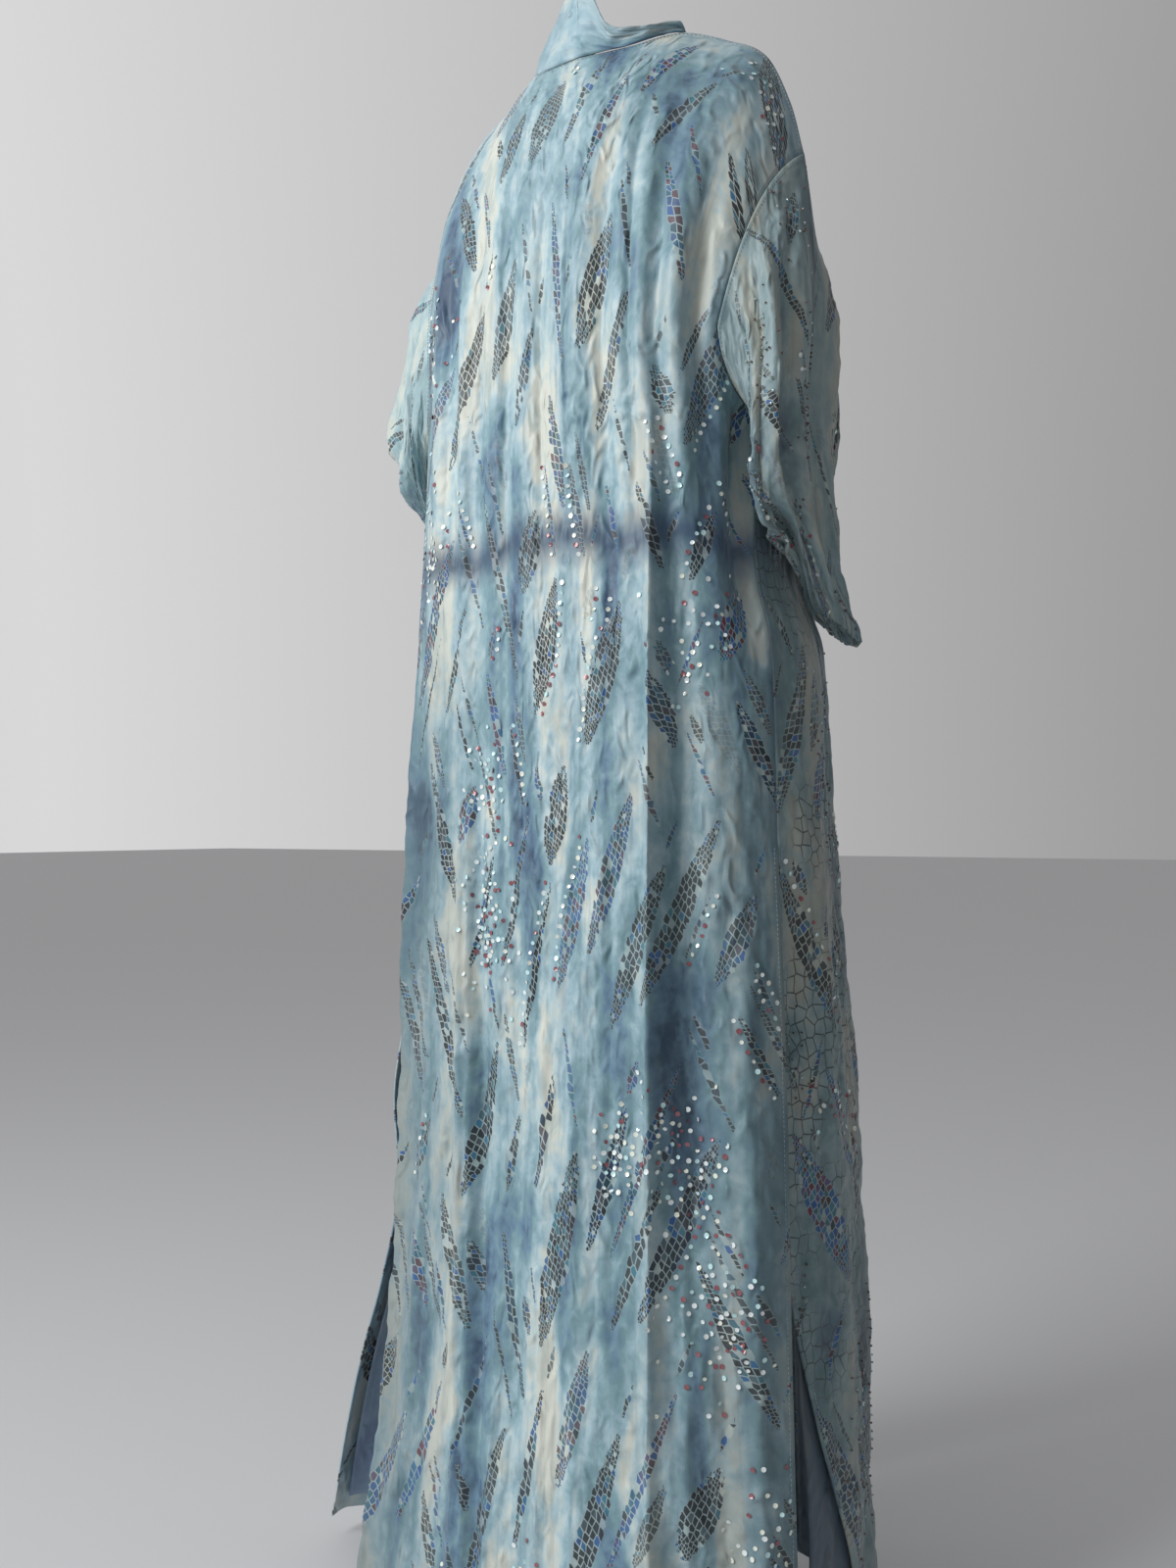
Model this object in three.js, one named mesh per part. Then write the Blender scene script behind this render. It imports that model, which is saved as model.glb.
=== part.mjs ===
import * as THREE from 'three';

// A long open robe, worn: millimetres, X to the wearer's left, Y to the back, Z up.
// The origin is at the base of the neck, between the shoulders.

// Cloth
const wall = 1.6; // one layer with its turned edges
const seamGap = 0.3; // between two pieces at a seam
const shoulderGap = 0.5; // between back and front on the shoulder
const armholeGap = 0.5; // between a sleeve head and the armhole edge
const collarWall = 2.4; // two layers
const liningGap = 4.0; // between a front and its lining, low down
const sewnGap = 1.2; // the same at the seam along the lining's top
const liningSpread = 160; // height over which the lining leaves its front
const liningLength = 0.8; // share of the last row that the lining covers
const liningInset = 0.055; // share of a front between its open edge and the lining

// Body of the robe
const middleY = -15; // the sections' centre lies this far in front of the neck
const chestZ = -330; // the yoke's curves end in this section
const underarmZ = -402;
const slitZ = -775; // the side seams end here
const hemZ = -1480;
const backSteps = 48; // columns across the back
const frontSteps = 18; // columns across one front
const liningSteps = 18;
const yokeSteps = 12; // rows from the shoulder seam to the chest
const neckShare = 0.5; // share of the half back that lies along the neckline

// Heights of the rows below the chest
const rowHeights = [
  -352, -375, -392, underarmZ, -430, -470, -520, -580, -640, -700, slitZ,
  -850, -930, -1010, -1090, -1170, -1250, -1330, -1410, hemZ,
];

// Half widths and depths of the body's sections, and how square each one is (2 is an ellipse)
const sections = [
  { z: -330, left: 180, right: 174, back: 140, front: 120, square: 3.0 },
  { z: -430, left: 181, right: 168, back: 145, front: 122, square: 3.0 },
  { z: -540, left: 190, right: 175, back: 148, front: 124, square: 2.8 },
  { z: -600, left: 196, right: 196, back: 150, front: 130, square: 2.6 },
  { z: -775, left: 203, right: 207, back: 153, front: 136, square: 2.5 },
  { z: -1050, left: 209, right: 226, back: 162, front: 148, square: 2.5 },
  { z: -1280, left: 222, right: 234, back: 174, front: 152, square: 2.6 },
  { z: -1480, left: 236, right: 240, back: 190, front: 156, square: 2.8 },
];

// Top edge of the half back: nape, side of the neck, shoulder seam, top of the armhole
const topEdge = [
  { share: 0.0, x: 0, y: 62, z: -46 },
  { share: 0.28, x: 50, y: 51, z: -43 },
  { share: 0.5, x: 83, y: 12, z: -22 },
  { share: 0.64, x: 115, y: -14, z: -26 },
  { share: 0.8, x: 152, y: -20, z: -48 },
  { share: 0.92, x: 177, y: -18, z: -99 },
  { share: 1.0, x: 191, y: -15, z: -150 },
];

// Where the back and the fronts end at the side, in degrees round from the centre of the back
const sideEdges = [
  { z: -330, back: 57, frontLeft: 110, frontRight: 110 },
  { z: -352, back: 58.5, frontLeft: 108, frontRight: 108 },
  { z: -375, back: 62, frontLeft: 102, frontRight: 102 },
  { z: -392, back: 68, frontLeft: 90, frontRight: 90 },
  { z: -402, back: 75, frontLeft: 75, frontRight: 75 },
  { z: -520, back: 71, frontLeft: 71, frontRight: 71 },
  { z: -775, back: 70, frontLeft: 70, frontRight: 70 },
  { z: -1050, back: 68, frontLeft: 77, frontRight: 68.5 },
  { z: -1150, back: 67.3, frontLeft: 78.3, frontRight: 69 },
  { z: -1241, back: 66.6, frontLeft: 79.3, frontRight: 73.5 },
  { z: -1300, back: 66, frontLeft: 80, frontRight: 77 },
  { z: -1391, back: 65.3, frontLeft: 81, frontRight: 87 },
  { z: -1480, back: 64.5, frontLeft: 82, frontRight: 99 },
];
const widestBackDegrees = 75;
const slitDegrees = 70; // the side seams' place where the slits start
const frontEdgeDegrees = 142; // the open front edges

// How far the slit edges stand out from the sections
const slitFlare = [
  { z: -775, frontLeft: 0, frontRight: 0, backLeft: 0, backRight: 0 },
  { z: -860, frontLeft: 10, frontRight: -4, backLeft: -3, backRight: 2 },
  { z: -950, frontLeft: 16, frontRight: -7, backLeft: -6, backRight: 4 },
  { z: -1030, frontLeft: 28, frontRight: -8, backLeft: -5, backRight: 5 },
  { z: -1128, frontLeft: 22, frontRight: -8, backLeft: -3, backRight: 5 },
  { z: -1217, frontLeft: 36, frontRight: -5, backLeft: -4, backRight: 6 },
  { z: -1304, frontLeft: 58, frontRight: 0, backLeft: 2, backRight: 8 },
  { z: -1390, frontLeft: 75, frontRight: -4, backLeft: 6, backRight: 8 },
  { z: -1480, frontLeft: 88, frontRight: -12, backLeft: 8, backRight: 4 },
];

// Where a lining's slit edge lies, as a share of the front
const liningEdges = [
  { z: -775, left: 0.055, right: 0.055 },
  { z: -1150, left: 0.055, right: 0.055 },
  { z: -1241, left: 0.055, right: -0.03 },
  { z: -1300, left: 0.055, right: -0.08 },
  { z: -1391, left: 0.055, right: -0.26 },
  { z: -1480, left: 0.055, right: -0.6 },
];

// Sleeve rings from the armhole to the hem: outer, inner, back and front points
const rightSleeve = [
  { outer: [-191, -15, -150], inner: [-163, 30, -402], back: [-160, 88, -305], front: [-176, -74, -290] },
  { outer: [-206, -11, -215], inner: [-181, 12, -425], back: [-178, 92, -350], front: [-190, -58, -335] },
  { outer: [-216, -6, -300], inner: [-183, 5, -450], back: [-186, 94, -402], front: [-192, -60, -395] },
  { outer: [-212, -8, -380], inner: [-183, 0, -482], back: [-185, 92, -448], front: [-190, -58, -455] },
  { outer: [-208, -22, -450], inner: [-183, -12, -508], back: [-188, 78, -488], front: [-191, -60, -500] },
  { outer: [-209, -30, -520], inner: [-185, -26, -530], back: [-189, 22, -502], front: [-195, -68, -545] },
  { outer: [-211, -80, -580], inner: [-184, -80, -574], back: [-190, -42, -566], front: [-197, -116, -588] },
];
const leftSleeve = [
  { outer: [191, -15, -150], inner: [168, 30, -402], back: [162, 88, -305], front: [178, -74, -290] },
  { outer: [208, -12, -205], inner: [189, 12, -425], back: [182, 84, -335], front: [200, -84, -325] },
  { outer: [227, -12, -280], inner: [191, 5, -450], back: [191, 72, -385], front: [210, -92, -388] },
  { outer: [248, -8, -358], inner: [196, -8, -470], back: [205, 62, -412], front: [216, -102, -446] },
  { outer: [230, -36, -420], inner: [200, -30, -500], back: [205, 26, -428], front: [212, -120, -506] },
  { outer: [222, -62, -485], inner: [201, -52, -528], back: [205, -10, -470], front: [208, -134, -560] },
  { outer: [216, -92, -548], inner: [197, -88, -560], back: [202, -50, -540], front: [204, -136, -585] },
];
const sleeveSteps = 12; // rows down a sleeve
const sleeveHeadShare = 0.35; // share of the sleeve in which the armhole's shape fades

// The band round the nape: height, and how far it leans in and back for each unit up
const napeBand = [
  { share: -0.5, height: 8, leanIn: 0.1, leanBack: 0.2 },
  { share: -0.3, height: 15, leanIn: 0.1, leanBack: 0.3 },
  { share: -0.16, height: 24, leanIn: 0.0, leanBack: 0.25 },
  { share: -0.08, height: 56, leanIn: 0.0, leanBack: 0.15 },
  { share: 0.05, height: 66, leanIn: 0.2, leanBack: 0.05 },
  { share: 0.2, height: 74, leanIn: 0.45, leanBack: 0.0 },
  { share: 0.35, height: 82, leanIn: 0.6, leanBack: -0.05 },
  { share: 0.5, height: 86, leanIn: 0.52, leanBack: 0.0 },
];
// The band down the fronts: width, and how much it still stands up
const frontBand = [
  { z: -25, left: 86, right: 10, standing: 1.0 },
  { z: -60, left: 84, right: 20, standing: 0.85 },
  { z: -110, left: 74, right: 36, standing: 0.6 },
  { z: -180, left: 58, right: 46, standing: 0.3 },
  { z: -280, left: 48, right: 46, standing: 0.05 },
  { z: -400, left: 46, right: 46, standing: 0.0 },
  { z: -1480, left: 46, right: 46, standing: 0.0 },
];
const bandSteps = 3; // across the band
const napeBandGap = 1.2;
const foldlessEdge = 0.12; // share of a panel beside a seam in which its folds fade

// Folds of the back: heights, shares of the half back at both ends (right is negative), how far
// out it stands, how wide it is and which share of its length it fades over
const backFolds = [
  { from: -50, to: -640, top: 0.68, foot: 0.524, out: 5, wide: 0.05, soft: 0.4 },
  { from: -50, to: -640, top: 0.575, foot: 0.436, out: -4, wide: 0.04, soft: 0.45 },
  { from: -50, to: -820, top: 0.515, foot: 0.333, out: 6, wide: 0.04, soft: 0.4 },
  { from: -50, to: -760, top: 0.35, foot: 0.2, out: 3, wide: 0.035, soft: 0.45 },
  { from: -60, to: -640, top: 0.243, foot: 0.145, out: -3, wide: 0.035, soft: 0.45 },
  { from: -50, to: -720, top: 0.142, foot: 0.02, out: 4, wide: 0.06, soft: 0.45 },
  { from: -55, to: -700, top: -0.017, foot: -0.144, out: 3, wide: 0.04, soft: 0.5 },
  { from: -55, to: -640, top: -0.108, foot: -0.238, out: 3, wide: 0.045, soft: 0.5 },
  { from: -45, to: -660, top: -0.234, foot: -0.379, out: -8, wide: 0.05, soft: 0.45 },
  { from: -50, to: -560, top: -0.3, foot: -0.425, out: 3, wide: 0.04, soft: 0.45 },
  { from: -45, to: -560, top: -0.398, foot: -0.54, out: 5, wide: 0.045, soft: 0.4 },
  { from: -60, to: -600, top: -0.45, foot: -0.606, out: -5, wide: 0.035, soft: 0.45 },
  { from: -80, to: -660, top: -0.518, foot: -0.7, out: 7, wide: 0.05, soft: 0.45 },
  { from: -80, to: -560, top: -0.594, foot: -0.782, out: -8, wide: 0.045, soft: 0.4 },
  { from: -300, to: -1700, top: -0.52, foot: -0.48, out: 13, wide: 0.035, soft: 0.22 },
  { from: -440, to: -1250, top: -0.6, foot: -0.63, out: -15, wide: 0.07, soft: 0.35 },
  { from: -600, to: -1800, top: 0.42, foot: 0.2, out: 8, wide: 0.04, soft: 0.25 },
  { from: -600, to: -1800, top: 0.34, foot: 0.11, out: -8, wide: 0.05, soft: 0.25 },
  { from: -520, to: -1800, top: 0.77, foot: 0.69, out: 8, wide: 0.035, soft: 0.2 },
  { from: -900, to: -1800, top: 0.86, foot: 0.84, out: -6, wide: 0.04, soft: 0.3 },
  { from: -640, to: -1800, top: 0.1, foot: 0.0, out: -7, wide: 0.07, soft: 0.3 },
  { from: -800, to: -1800, top: -0.2, foot: -0.25, out: 8, wide: 0.06, soft: 0.3 },
  { from: -780, to: -1800, top: -0.8, foot: -0.77, out: 10, wide: 0.06, soft: 0.3 },
  { from: -840, to: -1800, top: -0.92, foot: -0.91, out: -8, wide: 0.05, soft: 0.3 },
  { from: -250, to: -620, top: -0.76, foot: -0.75, out: 6, wide: 0.05, soft: 0.4 },
  { from: -320, to: -660, top: -0.92, foot: -0.9, out: -18, wide: 0.075, soft: 0.35 },
];

// Folds of a front, the same on both: shares from the side to the open edge
const frontFolds = [
  { from: -90, to: -560, top: 0.3, foot: 0.26, out: 5, wide: 0.09, soft: 0.35 },
  { from: -90, to: -620, top: 0.62, foot: 0.55, out: 6, wide: 0.09, soft: 0.35 },
  { from: -520, to: -1700, top: 0.2, foot: 0.24, out: 6, wide: 0.08, soft: 0.25 },
  { from: -480, to: -1700, top: 0.42, foot: 0.44, out: -9, wide: 0.08, soft: 0.25 },
  { from: -560, to: -1700, top: 0.64, foot: 0.66, out: 9, wide: 0.08, soft: 0.25 },
  { from: -640, to: -1700, top: 0.85, foot: 0.84, out: -6, wide: 0.07, soft: 0.25 },
];

// Small helpers
const toRadians = Math.PI / 180;

function mix(a, b, share) {
  return a + (b - a) * share;
}

function ease(share) {
  const t = Math.min(1, Math.max(0, share));
  return t * t * (3 - 2 * t);
}

// A smooth curve through one column of a table, by a key column that rises or falls
function readTable(rows, key, at, column) {
  const last = rows.length - 1;
  const rising = rows[last][key] > rows[0][key];
  let i = 0;
  while (i < last - 1 && (rising ? at > rows[i + 1][key] : at < rows[i + 1][key])) i += 1;
  const span = rows[i + 1][key] - rows[i][key];
  const t = Math.min(1, Math.max(0, (at - rows[i][key]) / span));
  const slope = (k) => {
    const before = rows[Math.max(0, k - 1)];
    const after = rows[Math.min(last, k + 1)];
    return (after[column] - before[column]) / (after[key] - before[key]);
  };
  const a = rows[i][column];
  const b = rows[i + 1][column];
  const t2 = t * t;
  const t3 = t2 * t;
  const start = (2 * t3 - 3 * t2 + 1) * a + (t3 - 2 * t2 + t) * span * slope(i);
  return start + (3 * t2 - 2 * t3) * b + (t3 - t2) * span * slope(i + 1);
}

// The body's section at a height, at an angle from the centre of the back, positive to the left
function bodyPoint(angle, z) {
  const half = readTable(sections, 'z', z, angle > 0 ? 'left' : 'right');
  const depth = readTable(sections, 'z', z, Math.abs(angle) < Math.PI / 2 ? 'back' : 'front');
  const power = readTable(sections, 'z', z, 'square');
  const across = Math.abs(Math.sin(angle)) / half;
  const along = Math.abs(Math.cos(angle)) / depth;
  const radius = 1 / Math.pow(Math.pow(across, power) + Math.pow(along, power), 1 / power);
  return new THREE.Vector3(radius * Math.sin(angle), middleY + radius * Math.cos(angle), z);
}

// The section's outward direction
function bodyNormal(angle, z) {
  const step = 0.01;
  const across = bodyPoint(angle + step, z).sub(bodyPoint(angle - step, z));
  const down = bodyPoint(angle, z - 2).sub(bodyPoint(angle, z + 2));
  return across.cross(down).normalize();
}

function topPointAt(share) {
  const side = share < 0 ? -1 : 1;
  const at = Math.abs(share);
  const x = readTable(topEdge, 'share', at, 'x');
  const y = readTable(topEdge, 'share', at, 'y');
  const z = readTable(topEdge, 'share', at, 'z');
  return new THREE.Vector3(side * x, y, z);
}

// The top edge as the straight stitches between the back's columns, so that both sides of a seam agree
function topPoint(share) {
  const place = (share + 1) * backSteps / 2;
  const first = Math.min(backSteps - 1, Math.max(0, Math.floor(place)));
  const start = topPointAt(first * 2 / backSteps - 1);
  const end = topPointAt((first + 1) * 2 / backSteps - 1);
  return start.lerp(end, place - first);
}

// The shoulder seam's own outward direction, shared by the back and the fronts
function shoulderNormal(share) {
  const side = share < 0 ? -1 : 1;
  const along = topPointAt(share + side * 0.02).sub(topPointAt(share - side * 0.02));
  return new THREE.Vector3(-along.z * side, 0, along.x * side).normalize();
}

// From the top edge over the shoulder to the chest section
function yokePoint(top, chest, share) {
  const shoulder = new THREE.Vector3(
    mix(top.x, chest.x, 0.4),
    mix(top.y, chest.y, 0.8),
    mix(top.z, chest.z, 0.25),
  );
  const keep = 1 - share;
  return top.clone().multiplyScalar(keep * keep)
    .addScaledVector(shoulder, 2 * keep * share)
    .addScaledVector(chest, share * share);
}

// Half the seam gap as an angle
function gapAngle(z) {
  return seamGap / 2 / readTable(sections, 'z', z, 'left');
}

function backAngle(share, z) {
  const edge = readTable(sideEdges, 'z', z, 'back') * toRadians - gapAngle(z);
  return share * edge;
}

function frontAngle(side, share, z) {
  const sewn = z <= underarmZ && z >= slitZ;
  const open = side > 0 ? 'frontLeft' : 'frontRight';
  const edge = readTable(sideEdges, 'z', z, sewn ? 'back' : open) * toRadians + gapAngle(z);
  return side * mix(edge, frontEdgeDegrees * toRadians, share);
}

// Outward push of a slit edge, which fades away from the edge
function slitPush(column, fromEdge, z) {
  if (z > slitZ) return 0;
  const fade = 1 - ease(fromEdge);
  return readTable(slitFlare, 'z', z, column) * fade * fade;
}

// Folds hang straight, so their places are shares of the widest angle and not of the panel's width there
function hangingShare(share, z) {
  return share * readTable(sideEdges, 'z', Math.min(z, chestZ), 'back') / widestBackDegrees;
}

function hangingFrontShare(side, share, z) {
  const angle = frontAngle(side, share, Math.min(z, chestZ)) * side / toRadians;
  return (angle - slitDegrees) / (frontEdgeDegrees - slitDegrees);
}

function foldHeight(folds, share, z) {
  let height = 0;
  for (const fold of folds) {
    const down = (fold.from - z) / (fold.from - fold.to);
    if (down <= 0 || down >= 1) continue;
    const place = mix(fold.top, fold.foot, down);
    const fade = ease(down / fold.soft) * ease((1 - down) / fold.soft);
    const off = (share - place) / fold.wide;
    height += fold.out * fade * Math.exp(-off * off);
  }
  return height;
}

// Outer points of a panel as rows of vectors, from a function of the column's share and the row
function panelRows(columns, pointAt) {
  const rows = [];
  for (let row = 0; row <= yokeSteps + rowHeights.length; row += 1) {
    const line = [];
    for (let column = 0; column <= columns; column += 1) {
      line.push(pointAt(column / columns, row));
    }
    rows.push(line);
  }
  return rows;
}

// Outward normals of a grid of points; turn is 1 or -1 for the grid's handedness
function gridNormals(rows, turn) {
  return rows.map((line, i) => line.map((point, j) => {
    const right = line[Math.min(line.length - 1, j + 1)].clone().sub(line[Math.max(0, j - 1)]);
    const down = rows[Math.min(rows.length - 1, i + 1)][j].clone().sub(rows[Math.max(0, i - 1)][j]);
    return right.cross(down).multiplyScalar(turn).normalize();
  }));
}

// A closed wall between an outer grid and the same grid moved inwards
function wallGeometry(outer, inner, closedRound) {
  const rows = outer.length;
  const columns = outer[0].length;
  const positions = [];
  for (const grid of [outer, inner]) {
    for (const line of grid) {
      for (const point of line) positions.push(point.x, point.y, point.z);
    }
  }
  const index = [];
  const half = rows * columns;
  const at = (i, j, layer) => layer * half + i * columns + (j % columns);
  const quad = (a, b, c, d) => index.push(a, b, c, a, c, d);
  const across = closedRound ? columns : columns - 1;
  for (let i = 0; i < rows - 1; i += 1) {
    for (let j = 0; j < across; j += 1) {
      quad(at(i, j, 0), at(i, j + 1, 0), at(i + 1, j + 1, 0), at(i + 1, j, 0));
      quad(at(i, j, 1), at(i + 1, j, 1), at(i + 1, j + 1, 1), at(i, j + 1, 1));
    }
    if (!closedRound) {
      const end = columns - 1;
      quad(at(i, 0, 1), at(i, 0, 0), at(i + 1, 0, 0), at(i + 1, 0, 1));
      quad(at(i, end, 0), at(i, end, 1), at(i + 1, end, 1), at(i + 1, end, 0));
    }
  }
  for (let j = 0; j < across; j += 1) {
    quad(at(0, j, 1), at(0, j + 1, 1), at(0, j + 1, 0), at(0, j, 0));
    quad(at(rows - 1, j, 0), at(rows - 1, j + 1, 0), at(rows - 1, j + 1, 1), at(rows - 1, j, 1));
  }
  const geometry = new THREE.BufferGeometry();
  geometry.setAttribute('position', new THREE.Float32BufferAttribute(positions, 3));
  geometry.setIndex(index);
  if (signedVolume(positions, index) < 0) {
    for (let k = 0; k < index.length; k += 3) {
      const swap = index[k + 1];
      index[k + 1] = index[k + 2];
      index[k + 2] = swap;
    }
    geometry.setIndex(index);
  }
  geometry.computeVertexNormals();
  return geometry;
}

function signedVolume(positions, index) {
  const corner = (k) => new THREE.Vector3().fromArray(positions, index[k] * 3);
  let volume = 0;
  for (let k = 0; k < index.length; k += 3) {
    volume += corner(k).dot(corner(k + 1).cross(corner(k + 2))) / 6;
  }
  return volume;
}

// Moves each point by a distance along its normal
function offsetRows(rows, normals, distance) {
  const move = (point, normal) => point.clone().addScaledVector(normal, distance);
  return rows.map((line, i) => line.map((point, j) => move(point, normals[i][j])));
}

// The back: share runs from -1 at the right side to 1 at the left side
function backPoint(share, row) {
  const chest = bodyPoint(backAngle(share, chestZ), chestZ);
  if (row <= yokeSteps) return yokePoint(topPoint(share), chest, row / yokeSteps);
  const z = rowHeights[row - yokeSteps - 1];
  const angle = backAngle(share, z);
  const point = bodyPoint(angle, z);
  const column = share > 0 ? 'backLeft' : 'backRight';
  const push = slitPush(column, (1 - Math.abs(share)) * 3, z);
  return point.addScaledVector(bodyNormal(angle, z), push);
}

// How much of a fold is left near a sewn edge
function seamFade(fromEdge, z) {
  return z > slitZ ? ease(fromEdge / foldlessEdge) : ease(fromEdge / foldlessEdge + 0.4);
}

// Raises the folds of a panel, then gives it its wall; the sewn edges keep the directions they share
function foldedPanel(smooth, turn, shareOf, heightAt, isSewn) {
  const normals = gridNormals(smooth, turn);
  smooth.forEach((line, i) => line.forEach((point, j) => {
    const shared = isSewn(i, j);
    if (shared) normals[i][j] = shared;
  }));
  const outer = smooth.map((line, i) => line.map((point, j) => {
    const height = isSewn(i, j) ? 0 : heightAt(shareOf(j, i), point.z);
    return point.clone().addScaledVector(normals[i][j], height);
  }));
  const wallNormals = gridNormals(outer, turn)
    .map((line, i) => line.map((normal, j) => isSewn(i, j) ?? normal));
  return { outer, normals: wallNormals, inner: offsetRows(outer, wallNormals, -wall) };
}

// The height of a row on a side seam, or null where the panel's edge is open or an armhole
function seamHeight(row) {
  const z = rowHeights[row - yokeSteps - 1];
  return z <= underarmZ && z >= slitZ ? z : null;
}

function makeBack() {
  const shareOf = (j) => j * 2 / backSteps - 1;
  const smooth = panelRows(backSteps, (across, row) => backPoint(across * 2 - 1, row));
  const heightAt = (share, z) => (
    foldHeight(backFolds, hangingShare(share, z), z) * seamFade(1 - Math.abs(share), z)
  );
  const isSewn = (i, j) => {
    if (i === 0 && Math.abs(shareOf(j)) >= neckShare) return shoulderNormal(shareOf(j));
    const z = j === 0 || j === backSteps ? seamHeight(i) : null;
    return z ? bodyNormal(backAngle(shareOf(j), z), z) : null;
  };
  return foldedPanel(smooth, 1, shareOf, heightAt, isSewn);
}

// A front: share runs from 0 at the side to 1 at the open front edge
function frontPoint(side, share, row) {
  const chest = bodyPoint(frontAngle(side, share, chestZ), chestZ);
  if (row <= yokeSteps) {
    const top = topPoint(side * mix(1, neckShare, share));
    const point = yokePoint(top, chest, row / yokeSteps);
    if (row === 0) point.y -= shoulderGap;
    return point;
  }
  const z = rowHeights[row - yokeSteps - 1];
  const angle = frontAngle(side, share, z);
  const push = slitPush(side > 0 ? 'frontLeft' : 'frontRight', share * 1.5, z);
  return bodyPoint(angle, z).addScaledVector(bodyNormal(angle, z), push);
}

function makeFront(side) {
  const smooth = panelRows(frontSteps, (share, row) => frontPoint(side, share, row));
  const heightAt = (share, z) => (
    foldHeight(frontFolds, hangingFrontShare(side, share, z), z) * seamFade(share, z)
  );
  const isSewn = (i, j) => {
    if (i === 0) return shoulderNormal(side * mix(1, neckShare, j / frontSteps));
    const z = j === 0 ? seamHeight(i) : null;
    return z ? bodyNormal(frontAngle(side, 0, z), z) : null;
  };
  return foldedPanel(smooth, side, (j) => j / frontSteps, heightAt, isSewn);
}

// A front's lining below the slit: the front's own surface moved inwards, short of its edges
function makeLining(side) {
  const heights = rowHeights.slice(rowHeights.indexOf(slitZ));
  const firstRow = yokeSteps + 1 + rowHeights.indexOf(slitZ);
  const column = side > 0 ? 'left' : 'right';
  const shareOf = (j, i) => {
    const start = readTable(liningEdges, 'z', heights[i], column);
    return mix(start, 1 - liningInset, j / liningSteps);
  };
  const smooth = heights.map((z, i) => {
    const line = [];
    for (let j = 0; j <= liningSteps; j += 1) line.push(frontPoint(side, shareOf(j, i), firstRow + i));
    return line;
  });
  const heightAt = (share, z) => (
    foldHeight(frontFolds, hangingFrontShare(side, share, z), z) * seamFade(share, z)
  );
  const { outer, normals } = foldedPanel(smooth, side, shareOf, heightAt, () => null);
  const gapAt = (z) => mix(sewnGap, liningGap, ease((slitZ - z) / liningSpread));
  const rows = outer.map((line, i) => line.map((point, j) => (
    point.clone().addScaledVector(normals[i][j], -(wall + gapAt(heights[i])))
  )));
  const last = rows.length - 1;
  rows[last] = rows[last].map((point, j) => rows[last - 1][j].clone().lerp(point, liningLength));
  return { outer: rows, inner: offsetRows(rows, normals, -wall) };
}

// The armhole edge as the sleeve meets it: down the back edge, then up the front edge
function armholeLoop(side, back, front) {
  const backColumn = side > 0 ? backSteps : 0;
  const lastRow = yokeSteps + 1 + rowHeights.indexOf(underarmZ);
  const loop = [];
  for (let i = 0; i <= lastRow; i += 1) loop.push(back.outer[i][backColumn]);
  for (let i = lastRow - 1; i > 0; i -= 1) loop.push(front.outer[i][0]);
  return loop.map((point) => point.clone().add(new THREE.Vector3(side * armholeGap, 0, 0)));
}

// A ring of a sleeve at a turn (0 outer, 1/4 back, 1/2 inner, 3/4 front)
function ringPoint(table, share, turn) {
  const place = share * (table.length - 1);
  const rows = table.map((row, k) => ({ k, ...row }));
  const read = (name, axis) => {
    const column = rows.map((row) => ({ k: row.k, v: row[name][axis] }));
    return readTable(column, 'k', place, 'v');
  };
  const angle = turn * 2 * Math.PI;
  const cos = Math.cos(angle);
  const sin = Math.sin(angle);
  const value = [0, 1, 2].map((axis) => {
    const outer = read('outer', axis);
    const inner = read('inner', axis);
    const back = read('back', axis);
    const front = read('front', axis);
    const centre = (outer + inner + back + front) / 4;
    return centre + (outer - inner) / 2 * cos + (back - front) / 2 * sin;
  });
  return new THREE.Vector3(...value);
}

function makeSleeve(side, table, loop) {
  const lengths = [0];
  for (let k = 1; k <= loop.length; k += 1) {
    lengths.push(lengths[k - 1] + loop[k - 1].distanceTo(loop[k % loop.length]));
  }
  const outer = [];
  for (let row = 0; row <= sleeveSteps; row += 1) {
    const share = row / sleeveSteps;
    const fade = 1 - ease(share / sleeveHeadShare);
    outer.push(loop.map((edge, k) => {
      const turn = lengths[k] / lengths[loop.length];
      const head = edge.clone().sub(ringPoint(table, 0, turn)).multiplyScalar(fade);
      return ringPoint(table, share, turn).add(head);
    }));
  }
  const round = outer.map((line) => [line[line.length - 1], ...line, line[0]]);
  const normals = gridNormals(round, -side).map((line) => line.slice(1, -1));
  return { outer, inner: offsetRows(outer, normals, -wall) };
}

// One station of the band: its points from the seam outwards
function bandStation(base, direction, width, gap) {
  const line = [];
  for (let j = 0; j <= bandSteps; j += 1) {
    line.push(base.clone().addScaledVector(direction, gap + width * j / bandSteps));
  }
  return line;
}

function napeDirection(share) {
  const side = share < 0 ? -1 : 1;
  const leanIn = readTable(napeBand, 'share', share, 'leanIn');
  const leanBack = readTable(napeBand, 'share', share, 'leanBack');
  return new THREE.Vector3(-side * leanIn, leanBack, 1).normalize();
}

function frontBandStations(side, front) {
  const stations = [];
  for (let i = 1; i < front.outer.length; i += 1) {
    const line = front.outer[i];
    const edge = line[frontSteps];
    const onwards = edge.clone().sub(line[frontSteps - 1]).normalize();
    const standing = readTable(frontBand, 'z', edge.z, 'standing');
    const direction = onwards.lerp(napeDirection(side * neckShare), standing).normalize();
    const width = readTable(frontBand, 'z', edge.z, side > 0 ? 'left' : 'right');
    stations.push(bandStation(edge, direction, width, mix(seamGap, napeBandGap, standing)));
  }
  return stations;
}

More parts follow.
